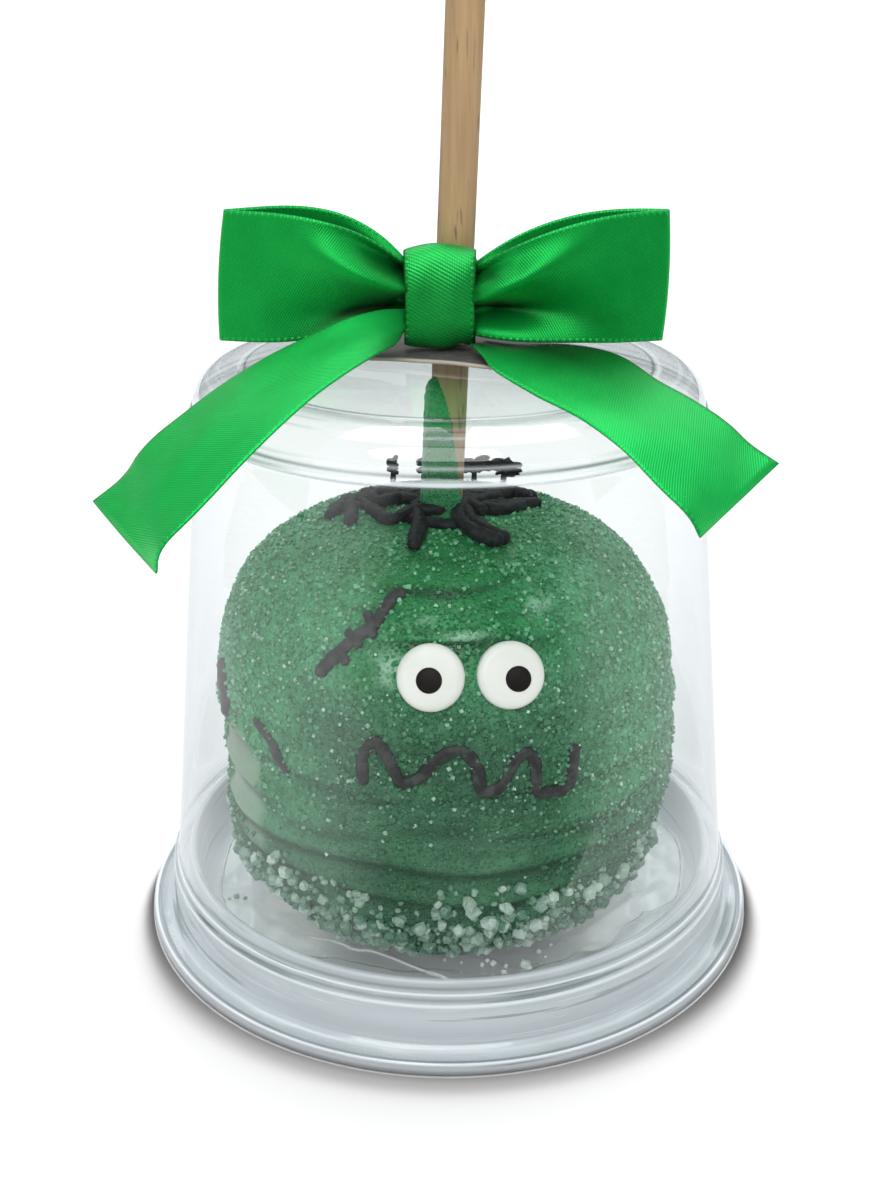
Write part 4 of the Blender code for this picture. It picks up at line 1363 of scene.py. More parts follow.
# ---- apple ----
@dataclass
class AppleForm:
    """The coated apple's skin: a full, flat-footed form with lumps, wrinkles and folds."""

    centre: Triple = (-0.85, -0.9, 37.0)
    radius: float = 39.0
    bottom: float = 2.1
    top: float = 73.0
    full_below: float = 3.5
    full_above: float = 3.0
    uneven: float = 0.55
    folds: tuple[Pair, ...] = ((17.0, 0.6), (24.0, 0.9), (28.7, 1.0), (34.2, 1.0), (42.5, 0.7))
    fold_proud: float = 1.0
    fold_width: float = 1.25
    wrinkles: Floats = (70.3, 68.6, 66.6, 64.9)
    brows: tuple[tuple[float, float, float, float, float], ...] = (
        (-8.5, 60.0, 3.4, 3.0, 0.9), (3.2, 65.2, 5.0, 1.5, 0.9), (-3.5, 66.2, 4.2, 1.3, 0.8),
        (12.5, 64.6, 4.5, 1.6, 0.7), (16.0, 58.0, 3.0, 4.0, 0.5))
    wrinkle_proud: float = 0.62
    wrinkle_width: float = 0.6
    sags: Floats = (33.0, 38.5, 52.0)
    sag_proud: float = 0.22
    sag_width: float = 1.6
    spike: Floats = (45.5, -0.1, 1.2, 1.6)  # height, turn, half width and reach
    dent: Floats = (31.0, 10.0, 0.62, 2.3)  # height, half height, half turn and depth
    segments: int = 340
    rings: int = 210

    def half(self, below: bool) -> Pair:
        """Fullness and height of the lower or the upper half."""
        return ((self.full_below, self.centre[2] - self.bottom) if below
                else (self.full_above, self.top - self.centre[2]))

    def outline(self, angle: float) -> Pair:
        """Radius and height of the plain skin.

        Args:
            angle: Angle from the equator, in radians.

        Returns:
            Radius and height.
        """
        full, reach = self.half(angle < 0)
        across = abs(cos(angle)) ** (2 / full)
        along = copysign(abs(sin(angle)) ** (2 / full), angle)
        return self.radius * across, self.centre[2] + reach * along

    def angle_at(self, height: float) -> float:
        """The angle from the equator at which the plain skin has a height.

        Args:
            height: Height in millimetres.

        Returns:
            The angle in radians.
        """
        full, reach = self.half(height < self.centre[2])
        share = min(abs(height - self.centre[2]) / reach, 1.0)
        return copysign(asin(share ** (full / 2)), height - self.centre[2])

    def relief(self, turn: float, angle: float, radius: float, height: float) -> float:
        """How far the skin stands off its plain outline.

        Args:
            turn: Direction from +X, in radians.
            angle: Angle from the equator.
            radius: Radius of the plain skin there.
            height: Height there.

        Returns:
            Millimetres outwards.
        """
        way = Vector((cos(angle) * cos(turn), cos(angle) * sin(turn), sin(angle)))
        lumps = self.uneven * noise(way * 2.3 + Vector((3.1, 0.7, 5.2)))
        folds = 0.0
        for number, (level, strength) in enumerate(self.folds):
            drift = 3.4 * noise(Vector((way.x * 1.5, way.y * 1.5, 4.0 * number)))
            offset = (height - level - drift) / self.fold_width
            folds += strength * self.fold_proud * exp(-offset * offset)
        folds *= min(radius / self.radius, 1.0)
        creases = self.crease_depth(way, angle, height)
        bulge = 0.0
        if way.y < 0.0:
            x = self.centre[0] + radius * cos(turn)
            for middle_x, middle_z, wide, tall, proud in self.brows:
                off = ((x - middle_x) / wide) ** 2 + ((height - middle_z) / tall) ** 2
                bulge += proud * exp(-off)
        level, at, wide, out = self.spike
        spike = hypot((height - level) / wide, (turn - at) * self.radius / wide)
        sag = 0.0
        for number, level in enumerate(self.sags):
            drift = 4.0 * noise(Vector((way.x * 1.1, way.y * 1.1, 9.0 + number)))
            offset = (height - level - drift - 3.0 * way.x) / self.sag_width
            sag += self.sag_proud * exp(-offset * offset)
        level, tall, wide, deep = self.dent
        flank = hypot(remainder(turn - pi, tau) / wide, (height - level) / tall)
        dent = -deep * exp(-flank ** 2)
        return lumps + folds + creases + bulge + sag + dent + out * exp(-spike * spike)

    def crease_depth(self, way: Vector, angle: float, height: float) -> float:
        """How far the forehead's wrinkles stand out.

        Args:
            way: Direction from the apple's middle.
            angle: Angle from the equator.
            height: Height there.

        Returns:
            Millimetres outwards.
        """
        front = max(0.0, -way.y / max(cos(angle), 1e-3))
        depth = 0.0
        for number, level in enumerate(self.wrinkles):
            drift = 1.3 * noise(Vector((way.x * 3.1, 5.0 * number, 1.3))) + 1.5 * way.x
            offset = (height - level - drift) / self.wrinkle_width
            depth += self.wrinkle_proud * exp(-offset * offset) * front ** 6
        return depth

    def crease_shade(self, turn: float, angle: float) -> float:
        """Painted shade of the skin below the fold above it, from 0 to 1, by how deep it lies there.

        Args:
            turn: Direction from +X, in radians.
            angle: Angle from the equator.

        Returns:
            The share.
        """
        radius, height = self.outline(angle)
        here = self.relief(turn, angle, radius, height)
        above = [self.relief(turn, angle, radius, height + step) for step in (0.8, 1.6)]
        below = self.relief(turn, angle, radius, height - 1.0)
        drop = 0.5 * (above[0] + above[1]) - here + 0.4 * max(0.0, below - here)
        return min(1.0, max(0.0, 1.6 * drop))

    def point(self, turn: float, angle: float, lift: float = 0.0) -> Array:
        """A point of the skin.

        Args:
            turn: Direction from +X, in radians.
            angle: Angle from the equator.
            lift: Distance to stand off it.

        Returns:
            The point.
        """
        radius, height = self.outline(angle)
        out = self.relief(turn, angle, radius, height) + lift
        radius += out * cos(angle)
        return np.array([self.centre[0] + radius * cos(turn),
                         self.centre[1] + radius * sin(turn), height + lift * sin(angle)])

    def front(self, x: float, z: float, lift: float = 0.0) -> Array:
        """The point of the front skin at an x and a height.

        Args:
            x: Its x.
            z: Its height.
            lift: Distance to stand off the skin.

        Returns:
            The point.
        """
        angle = self.angle_at(z)
        turn = -pi / 2
        for _ in range(3):
            here = self.point(turn, angle, lift)
            reach = hypot(here[0] - self.centre[0], here[1] - self.centre[1])
            turn = -acos(max(-1.0, min(1.0, (x - self.centre[0]) / reach)))
        return self.point(turn, angle, lift)

    def above(self, x: float, y: float, lift: float = 0.0) -> Array:
        """The point of the upper skin at an x and a y.

        Args:
            x: Its x.
            y: Its y.
            lift: Height to stand above the skin.

        Returns:
            The point.
        """
        distance = hypot(x - self.centre[0], y - self.centre[1])
        angle = acos(min(1.0, distance / self.radius) ** (self.full_above / 2))
        here = self.point(atan2(y - self.centre[1], x - self.centre[0]), angle, 0.0)
        return here + np.array([0.0, 0.0, lift])

    def outward(self, point: Array) -> Array:
        """The direction away from the skin at a point of it.

        Args:
            point: The point.

        Returns:
            The direction, of length 1.
        """
        level = (point[2] - self.centre[2]) / (self.top - self.centre[2])
        flat = (point[:2] - np.array(self.centre[:2])) / self.radius
        way = np.array([flat[0] * abs(np.hypot(*flat)), flat[1] * abs(np.hypot(*flat)), level * abs(level)])
        return way / max(np.linalg.norm(way), 1e-9)


class Zone(Enum):
    """Where one kind of sugar lies."""

    FINE = "fine_sugar"
    BRIGHT = "bright_sugar"
    SMALL = "small_crystals"
    COARSE = "coarse_sugar"


@dataclass(frozen=True)
class SugarKind:
    """One kind of sugar: how much, how large in millimetres, how high it sits and its finish."""

    zone: Zone
    count: int
    least: float
    most: float
    lift: float
    power: float  # above 1 makes pale grains rarer
    finish: Grains


@dataclass
class CandyApple:
    """The apple's skin, sugar, icing and the coating that climbs the stick."""

    form: AppleForm
    stick: Stick
    mouth: tuple[Pair, ...] = ((-13, 42.5), (-13, 47), (-11, 50), (-9, 47), (-7, 43.5), (-4, 45),
                               (-2, 47.5), (1.5, 49), (4, 46.5), (5, 42.5), (8, 43), (10, 46.5),
                               (12, 47.5), (13.2, 45), (13.4, 41), (16, 40.3), (18.5, 41), (19.2, 47.5))
    brow: tuple[Pair, ...] = ((-6, 69), (-8.5, 68.5), (-11.2, 65.5), (-13.7, 64), (-16, 62), (-19, 59),
                              (-19.7, 57.5))
    brow_loops: tuple[tuple[Pair, ...], ...] = (
        ((-12.5, 66.8), (-11.2, 63.8)), ((-15.6, 64.4), (-13.2, 62.4)), ((-17, 62), (-15.2, 60)))
    cheek: tuple[Pair, ...] = ((-31, 47), (-28, 44.5), (-25, 40.5))
    top_strokes: tuple[tuple[Pair, ...], ...] = (
        ((-18, 6), (-9, 10), (0, 9), (9, 9), (15.5, 9)), ((-20, -1.5), (-17, 7), (-16, -6)),
        ((-15, 5), (-10, -6.0), (-5.5, -1.5), (-3, 6)), ((-5.5, 0), (-4.8, -9), (-5.6, -17.5)),
        ((1.5, 2), (4, -9), (9.5, -15)), ((6, -5), (3, -1.5), (1.5, -7), (4, -13), (8.6, -16)),
        ((-7, -5), (-1, -8.0), (4, -8.5)), ((5, 0), (10, 1), (15.5, 5)), ((-12, 8), (-6, 2.5), (-1, 4)),
        ((2, 7), (6, 4), (11, 8), (14, 6)), ((-6, -3), (-2, -3.5), (2, -1), (9, 4.5)),
        ((-14.5, 7), (-12, 1), (-8, 3)), ((-3, 4), (1, 11), (7, 11)), ((4, 2), (8, -1.5), (13, 2)))
    wisps: tuple[tuple[Floats, float, float, int], ...] = (
        ((4.4, 9.6), 2.4, 13.2, 56), ((-3.2,), -5.8, -0.8, 24), ((-9.8,), -10.9, -8.8, 10))
    scribbles: int = 16
    side_dab: tuple[Pair, ...] = ((-163.0, 51.5), (-160.5, 49.0), (-156.5, 45.5), (-155.5, 43.0))
    stroke: float = 1.05
    sleeve_top: float = 96.0
    sleeve_side: float = radians(205.0)  # turn from +X at which it climbs highest
    sleeve_thick: float = 1.25
    sleeve_flare: float = 1.4
    sleeve_grid: tuple[int, int] = (90, 72)
    crusts: tuple[Floats, ...] = (
        (-8.5, 60.5, 3.2, 3.4, 0.9), (2.8, 64.8, 4.5, 0.9, 0.9), (13.5, 67.0, 3.5, 1.6, 0.8),
        (-3.0, 66.6, 3.4, 0.8, 0.6), (-21.0, 62.0, 8.0, 6.0, 0.35), (24.0, 60.0, 7.0, 8.0, 0.35))
    wet_zones: tuple[Floats, ...] = (
        (-0.5, 70.0, 14.0, 6.5, 1.5), (1.5, 63.0, 12.0, 3.6, 1.0), (-13.0, 59.0, 3.6, 3.0, 0.8))
    bare_patch: Floats = (-62.0, 34.0, 14.0, 10.0)  # side in degrees, height, half sizes
    foot_side: Pair = (-57.0, 22.0)  # degrees at which the bare foot is highest, and its half width
    foot_climb: float = 6.8
    pale_foot: float = 7.0
    sugar_foot: float = 7.4
    swath_foot: Pair = (13.0, 5.0)  # where the thinly sugared swath starts, and over what height
    swath_top: Pair = (41.0, -12.0)  # where it ends, and over what height
    belt: Pair = (7.8, 24.6)  # heights between which the crystals lie
    sugars: tuple[SugarKind, ...] = (
        SugarKind(Zone.FINE, 15500, 0.34, 0.7, 0.13, 1.6, Grains(name="fine_sugar")),
        SugarKind(Zone.BRIGHT, 3300, 0.26, 0.54, 0.26, 1.3, Grains(
            name="bright_sugar", dim=(0.07, 0.24, 0.13), dark=(0.09, 0.3, 0.16), pale=(0.48, 0.7, 0.55),
            wet_dark=(0.04, 0.28, 0.1), wet_pale=(0.36, 0.66, 0.44), roughness=0.2)),
        SugarKind(Zone.SMALL, 1100, 0.7, 1.2, 0.2, 1.0, Grains(
            name="small_crystals", dim=(0.045, 0.17, 0.09), dark=(0.045, 0.17, 0.09),
            pale=(0.3, 0.46, 0.36), roughness=0.3)),
        SugarKind(Zone.COARSE, 610, 1.15, 2.2, 0.25, 1.3, Grains(
            name="coarse_sugar", dim=(0.075, 0.21, 0.13), dark=(0.075, 0.21, 0.13),
            pale=(0.54, 0.68, 0.59), roughness=0.22, relief=0.2)))
    # Kept by skin() for the sugar: its points, its faces, and how bare and how wet it is.
    spots: Array = field(init=False)
    faces: Array = field(init=False)
    bare: Array = field(init=False)
    wet: Array = field(init=False)

    def side_of(self, points: Array) -> Array:
        """Degrees of each point from the front, negative to the left."""
        return np.degrees(np.arctan2(points[:, 0] - self.form.centre[0],
                                     -(points[:, 1] - self.form.centre[1])))

    def blobs(self, points: Array, zones: Sequence[Floats]) -> Array:
        """Paint soft-edged patches on the front of the skin.

        Args:
            points: Points of the skin.
            zones: Middle x and z, half width, half height and strength of each patch.

        Returns:
            A value from 0 to 1 at each point.
        """
        paint = np.zeros(len(points))
        facing = points[:, 1] < self.form.centre[1]
        for x, z, wide, tall, strength in zones:
            off = ((points[:, 0] - x) / wide) ** 2 + ((points[:, 2] - z) / tall) ** 2
            paint += strength * np.exp(-off) * facing
        return np.clip(paint, 0.0, 1.0)

    def highness(self, points: Array) -> Array:
        """How much paler the coat and its fine sugar are made.

        Args:
            points: Points of the skin.

        Returns:
            A value at each, from 0 low on the front to 1 on the shoulders and flanks.
        """
        level = points[:, 2]
        flank = rise(np.abs(self.side_of(points)), 22.0, 30.0)
        return np.maximum(rise(level, 50.0, 14.0), flank * rise(level, 24.0, 14.0))

    def left_foot(self, side: Array) -> Array:
        """How far the bare foot climbs, as a share of its height on the left."""
        return np.clip(1.0 - np.abs(side - self.foot_side[0]) / self.foot_side[1], 0, 1) ** 0.7

    def bareness(self, points: Array) -> Array:
        """How bare of sugar the skin is.

        Args:
            points: Points of the skin.

        Returns:
            A value from 0 to 1 at each.
        """
        middle, level, wide, tall = self.bare_patch
        side = self.side_of(points)
        height = points[:, 2]
        waver = np.array([3.0 * noise(Vector(p) * 0.22) for p in points])
        up = np.abs(height - level + 0.1 * (side - middle)) / (tall + waver)
        patch = 1.0 - np.clip(np.maximum(np.abs(side - middle) / wide, up), 0, 1.3)
        foot = (self.sugar_foot + self.foot_climb * self.left_foot(side) + 0.2 * waver - height) / 1.2
        return np.clip(np.maximum(patch * 4.0, foot), 0.0, 1.0)

    def skin(self) -> None:
        """Make the coated skin, and keep what the sugar is strewn by."""
        form = self.form
        ways = [(turn, angle) for angle in np.linspace(-pi / 2, pi / 2, form.rings)
                for turn in np.arange(form.segments) / form.segments * tau]
        spots = np.array([form.point(*way) for way in ways])
        # painted shade in the creases under the folds
        crease_shade = np.array([form.crease_shade(*way) for way in ways])
        bare = self.bareness(spots)
        crust = np.array([noise(Vector(p) * 1.1) for p in spots])
        away = spots - np.array(form.centre)
        away /= np.linalg.norm(away, axis=1)[:, None]
        spots = spots + away * (0.24 * crust * (1.0 - bare))[:, None]
        waver = np.array([noise(Vector(p) * 0.16) for p in spots])
        side = self.side_of(spots)
        edge = self.pale_foot + self.foot_climb * self.left_foot(side) + 0.8 * waver
        foot = np.clip((edge - spots[:, 2]) / 0.8, 0.0, 1.0)
        self.spots, self.bare = spots, bare
        self.faces = grid_faces(form.rings, form.segments, closed=True)
        self.wet = self.blobs(spots, self.wet_zones)
        skin = Form(spots, self.faces, {
            "bare": bare, "foot": foot, "crust": self.blobs(spots, self.crusts), "wet": self.wet,
            "crease_shade": crease_shade, "high": self.highness(spots)})
        skin.piece("apple_skin", SugaredCoat(), Slot.COATING, node="apple", weld=True)

    def spread(self, zone: Zone, count: int, draw: np.random.Generator) -> tuple[Array, Array]:
        """Pick places on the skin for one kind of sugar.

        Args:
            zone: The kind of sugar.
            count: How many grains.
            draw: Source of random numbers.

        Returns:
            Places, and the directions away from the skin there.
        """
        corners = self.spots[self.faces]
        across = np.cross(corners[:, 2] - corners[:, 0], corners[:, 3] - corners[:, 1])
        area = 0.5 * np.linalg.norm(across, axis=1)
        middle = corners.mean(axis=1)
        side = self.side_of(middle)
        height = middle[:, 2]
        open_share = 1.0 - self.bare[self.faces].mean(axis=1)
        swath = rise(height, *self.swath_foot) * rise(height, *self.swath_top)
        front = np.clip(1.0 - (np.abs(side + 15.0) - 35.0) / 25.0, 0.0, 1.0)
        if zone in (Zone.COARSE, Zone.SMALL):
            low = self.belt[0] + 6.5 * self.left_foot(side)
            high = self.belt[1] - 4.2 * rise(np.abs(side), 40.0, 35.0) + 1.2 * np.sin(np.radians(side) * 7.0)
            run = (height - low) / (high - low)
            weight = ((run > 0.0) & (run < 1.0)).astype(float)
            weight *= np.clip(1.15 - run, 0.1, 0.85) ** 1.3
        else:
            weight = open_share * (1.0 - 0.96 * swath * front) * (height > 5.0)
            weight = weight * (1.0 - 0.55 * self.wet[self.faces].mean(axis=1))
            if zone is Zone.FINE:
                weight = weight * np.where(np.hypot(middle[:, 0], middle[:, 1]) < 4.5, 0.2, 1.0)
        chance = area * weight
        pick = draw.choice(len(area), size=count, p=chance / chance.sum())
        share = draw.random((count, 2, 1))
        quad = corners[pick]
        place = ((quad[:, 0] * (1 - share[:, 0]) + quad[:, 1] * share[:, 0]) * (1 - share[:, 1])
                 + (quad[:, 3] * (1 - share[:, 0]) + quad[:, 2] * share[:, 0]) * share[:, 1])
        away = across[pick] / np.maximum(2.0 * area[pick], 1e-9)[:, None]
        return place, away

    def sugar(self) -> None:
        """Strew the sugar, one kind after another."""
        draw = np.random.default_rng(11)
        cubes = [cube_kind(0.0), cube_kind(0.25), cube_kind(0.5)]
        small = [nugget_kind(1, 0.15, seed) for seed in range(4)]
        large = [nugget_kind(2, 0.34, seed) for seed in range(8)]
        for kind, shapes in zip(self.sugars, (cubes, cubes, small, large)):
            zone, count = kind.zone, kind.count
            place, away = self.spread(zone, count, draw)
            wide = kind.least + (kind.most - kind.least) * draw.random((count, 1)) ** 1.4
            size = wide * draw.uniform(0.8, 1.2, (count, 3))
            shade = draw.random(count) ** kind.power
            fine = zone in (Zone.FINE, Zone.BRIGHT)
            stand = kind.lift if fine else kind.lift * size.mean(axis=1)[:, None]
            if zone is Zone.FINE:
                shade = shade * (0.3 + 0.7 * self.highness(place))
            form = scattered(shapes, place + away * stand, size, shade, draw)
            form.paint["wet"] = self.blobs(form.points, self.wet_zones)
            form.paint["high"] = self.highness(form.points)
            form.piece(zone.value, kind.finish, Slot.COATING, smooth=False)

    def lay(self, points: Iterable[Array], width: float, seed: float, flat: float = 0.8,
            ragged: float = 0.14) -> Form:
        """Pipe one stroke along points of the skin.

        Args:
            points: Points of its middle.
            width: Half its width.
            seed: Picks its unevenness.
            flat: Its height as a share of its width.
            ragged: Share of its width by which its surface is rough.

        Returns:
            The stroke.
        """
        route = smooth_route(list(points), 0.45)
        outward = np.array([self.form.outward(point) for point in route])
        return piped(route, outward, width, width * flat, seed, ragged)

    def face_icing(self) -> None:
        """Pipe the mouth, the brow, the cheek and the side dab, thin and dry."""
        form = self.form
        strokes = []
        lines = ((self.mouth, 0.96), (self.brow, 1.05), (self.cheek, 0.95))
        for number, (route, width) in enumerate(lines):
            fine = smooth_route([(x, 0.0, z) for x, z in route], 1.0)
            points = [form.front(p[0], p[2], 0.1) for p in fine]
            strokes.append(self.lay(points, self.stroke * width, 3.0 * number, 0.6))
        for number, route in enumerate(self.brow_loops):
            points = [form.front(x, z, 0.4) for x, z in route]
            strokes.append(self.lay(points, self.stroke * 0.75, 20.0 + number))
        side = [form.point(radians(turn), form.angle_at(z), 0.2) for turn, z in self.side_dab]
        strokes.append(self.lay(side, self.stroke * 1.25, 60.0))
        dry = Icing(name="dry_icing", dark=(0.025, 0.027, 0.025), bloom=(0.07, 0.076, 0.07))
        together(strokes).piece("face_icing", dry, Slot.COATING, weld=True)

    def top_icing(self) -> None:
        """Pipe the thick scribble round the stick, with fine wisps that stand up from it."""
        form = self.form
        strokes = []
        for number, route in enumerate(self.top_strokes):
            fine = smooth_route([(x, y, 0.0) for x, y in route], 1.0)
            points = [form.above(p[0], p[1], 0.35 + 0.22 * (number % 6)) for p in fine]
            strokes.append(self.lay(points, self.stroke * 1.15, 40.0 + number, 0.9, 0.3))
        draw = np.random.default_rng(31)
        for number in range(self.scribbles):
            spot = np.array([draw.uniform(-16.0, 13.0), draw.uniform(2.5, 10.5)])
            way = draw.uniform(0.0, tau)
            points = []
            for _ in range(6):
                points.append(form.above(spot[0], spot[1], draw.uniform(0.3, 1.3)))
                way += draw.uniform(-1.2, 1.2)
                spot = spot + np.array([2.3 * cos(way), 1.3 * sin(way)])
                spot = np.clip(spot, (-17.0, 1.5), (14.5, 11.5))
            strokes.append(self.lay(points, self.stroke * draw.uniform(0.6, 0.9), 80.0 + number, 0.9, 0.35))
        for stems, left, right, count in self.wisps:
            for x in stems:
                y = draw.uniform(13.5, 15.0)
                points = [form.above(x, y, -0.3), form.above(x, y + 0.4, 2.2), form.above(x, y, 4.4)]
                strokes.append(self.lay(points, 0.5, 100.0 + x, 1.0, 0.35))
            for number in range(count):
                stem = stems[number % len(stems)]
                lift = draw.uniform(2.6, 5.2)
                end = min(max(stem + draw.uniform(-3.8, 3.8), left), right)
                y = draw.uniform(13.3, 15.4)
                points = [form.above(stem, y, min(lift, 4.2)),
                          form.above(0.6 * stem + 0.4 * end, y, lift + 0.2),
                          form.above(end, y + draw.uniform(-0.8, 0.8), lift + draw.uniform(-0.4, 0.4))]
                strokes.append(self.lay(points, draw.uniform(0.28, 0.52), 120.0 + number, 1.0, 0.5))
        together(strokes).piece("top_icing", Icing(), Slot.COATING, weld=True)

    def sleeve(self) -> None:
        """Make the tongue of coating that climbs the stick's left side."""
        low = self.form.top - 2.0
        rows, sides = self.sleeve_grid
        points = []
        for step in range(rows):
            height = low + (self.sleeve_top + 0.8 - low) * step / (rows - 1)
            for number in range(sides):
                turn = number / sides * tau
                # The tongue stands over the left and front of the stick and dies out to the right.
                off = remainder(turn - self.sleeve_side, tau)
                limit = low + (self.sleeve_top - low) * (1.0 - (abs(off) / 2.15) ** 2.4)
                ragged = 1.1 * noise((cos(turn) * 2.2, sin(turn) * 2.2, 1.0))
                left = limit + ragged - height
                thick = self.sleeve_thick * sqrt(max(0.0, 1.0 - (1.0 - rise(left, 0.0, 3.0)) ** 2))
                grain = 0.16 * noise((cos(turn) * 4.0, sin(turn) * 4.0, height * 1.1))
                flare = self.sleeve_flare * exp(-(height - low) / 2.2)
                radius = self.stick.radius - 0.2 + (thick + grain + flare if left > 0 else 0.0)
                points.append(self.stick.around(height, turn, radius))
        spots = np.array(points)
        plain = np.zeros(len(spots))
        form = Form(spots, grid_faces(rows, sides, closed=True),
                    {"bare": plain, "foot": plain, "crust": plain, "wet": plain + 0.7, "crease_shade": plain,
                     "high": plain + 1.0})
        form.piece("stick_coating", SugaredCoat(name="stick_coating"), Slot.COATING)

    def build(self) -> None:
        """Make the apple and all that is on it."""
        self.skin()
        self.sugar()
        self.face_icing()
        self.top_icing()
        self.sleeve()


@dataclass
class CandyEye:
    """A pressed candy eye, sunk a little in the coating."""

    name: str
    x: float
    z: float
    pupil_x: float
    pupil_z: float
    form: AppleForm
    radius: float = 5.1
    thickness: float = 3.2
    edge: float = 1.2
    sunk: float = 1.3
    tilt: float = radians(24.0)
    spread: float = 0.55
    pupil: float = 1.95

    def place(self) -> Matrix:
        """Where the eye is.

        Returns:
            Matrix from the eye's own frame, +Z away from the apple.
        """
        form = self.form
        level = (self.z - form.centre[2]) / (form.top - form.centre[2])
        radius = form.radius * (1 - level ** form.full_above) ** (1 / form.full_above)
        side = self.x - form.centre[0]
        depth = sqrt(radius * radius - side * side)
        turned_out = Matrix.Rotation(atan2(side, depth) * self.spread, 4, "Z")
        upright = turned_out @ Matrix.Rotation(pi / 2 - self.tilt, 4, "X")
        return Matrix.Translation((self.x, form.centre[1] - depth, self.z)) @ upright

    def put(self, form: Form, shift: Triple) -> Form:
        """Move a form from the eye's frame to the pack's.

        Args:
            form: The form to move.
            shift: First, a shift in the eye's own frame.

        Returns:
            The moved form.
        """
        matrix = np.array(self.place())
        form.points = (form.points + np.array(shift)) @ matrix[:3, :3].T + matrix[:3, 3]
        return form

    def build(self) -> None:
        """Make the white disc and the pupil."""
        front = self.thickness - self.sunk
        flat = self.radius - self.edge
        outline = [(r, front + 0.1 * (1 - (r / flat) ** 2)) for r in np.linspace(0.0, flat, 9)]
        outline += [(flat + self.edge * sin(a), front - self.edge * (1 - cos(a)))
                    for a in np.radians(np.linspace(8.0, 90.0, 10))]
        outline += [(self.radius, -self.sunk + 0.3), (self.radius - 0.3, -self.sunk), (0.0, -self.sunk)]
        disc = self.put(turned(outline, 72), (0.0, 0.0, 0.0))
        disc.piece(self.name + "_white", PressedCandy(), Slot.CANDY, node=self.name, weld=True)
        dome = [(self.pupil * sin(a), 0.5 * cos(a)) for a in np.radians(np.linspace(0.0, 90.0, 12))]
        dome += [(self.pupil - 0.05, -0.3)]
        dark = PressedCandy(name="dark_candy", colour=(0.008, 0.006, 0.005), shade=(0.018, 0.014, 0.012),
                            roughness=0.34, grain=1500.0, gloss=0.06)
        pupil = self.put(turned(dome, 48), (self.pupil_x, self.pupil_z, front + 0.06))
        pupil.piece(self.name + "_pupil", dark, Slot.CANDY, weld=True)


# ---- card and bow ----
@dataclass
class CardSquare:
    """The small bowed square of card that the stick goes through."""

    stick: Stick
    size: Pair = (27.0, 25.0)
    height: float = 101.45
    turn: float = radians(-17.0)
    bow: float = 0.5
    shift: Pair = (1.0, -1.2)
    thickness: float = 0.5
    hole: float = 0.13  # size of its hole, as a share of the card's
    square: int = 14  # how square its corners are
    rings: int = 14
    turns: int = 120

    def build(self) -> None:
        """Make the card with rounded corners and a paler cut edge."""
        rings, turns, square = self.rings, self.turns, self.square
        spots: list[Triple] = []
        cut: list[float] = []
        shares = [self.hole + (1.0 - self.hole) * (ring / rings) for ring in range(rings + 1)]
        order = [(share, 1) for share in shares] + [(share, -1) for share in reversed(shares)]
        for share, face in order:
            for number in range(turns):
                a = number / turns * tau
                reach = 1.0 / (abs(cos(a)) ** square + abs(sin(a)) ** square) ** (1 / square)
                x = reach * share * cos(a) * self.size[0] / 2
                y = reach * share * sin(a) * self.size[1] / 2
                z = -self.bow * (2 * x / self.size[0]) ** 2 + face * self.thickness / 2
                z += 0.12 * noise((x * 0.15, y * 0.15, 2.0))
                spots.append((x, y, z))
                cut.append(1.0 if share == 1.0 else 0.0)
        place = Matrix.Rotation(self.turn, 3, "Z")
        offset = self.stick.axis(self.height) + np.array([self.shift[0], self.shift[1], 0.0])
        points = np.array(spots) @ np.array(place).T + offset
        form = Form(points, grid_faces(len(order), turns, closed=True), {"cut": np.array(cut)})
        form.piece("card_sheet", GreyCard(), Slot.CARD, node="card_square")


class Side(Enum):
    """Left or right half of the bow."""

    LEFT = "left"
    RIGHT = "right"


@dataclass(frozen=True)
class Fold:
    """A fold that runs out from the knot into a loop, its places being shares of the ribbon."""

    near: float  # place across the ribbon at the knot, from -1 to 1
    far: float  # place across it where the fold dies out
    reach: float  # how far out it reaches, as a share of the loop
    near_width: float
    far_width: float
    proud: float  # millimetres towards the viewer

    def depth(self, share: float, across: float) -> float:
        """How far the fold brings a point forward.

        Args:
            share: Share of the way out from the knot.
            across: Place across the ribbon.

        Returns:
            Millimetres towards the viewer.
        """
        run = share / self.reach
        if run >= 1.0:
            return 0.0
        middle = self.near + (self.far - self.near) * run
        width = self.near_width + (self.far_width - self.near_width) * run
        return self.proud * cos(run * pi / 2) ** 1.5 * exp(-((across - middle) / width) ** 2)


@dataclass(frozen=True)
class LoopShape:
    """Lines that a bow loop follows from the knot to its far crease."""

    knot_x: float
    far_x: float
    far_top: float
    far_bottom: float
    drop: float  # fall of the upper edge at the knot
    drop_power: float
    rise: float  # rise of the lower edge at the knot
    rise_power: float
    folds: tuple[Fold, ...]
    slant: float


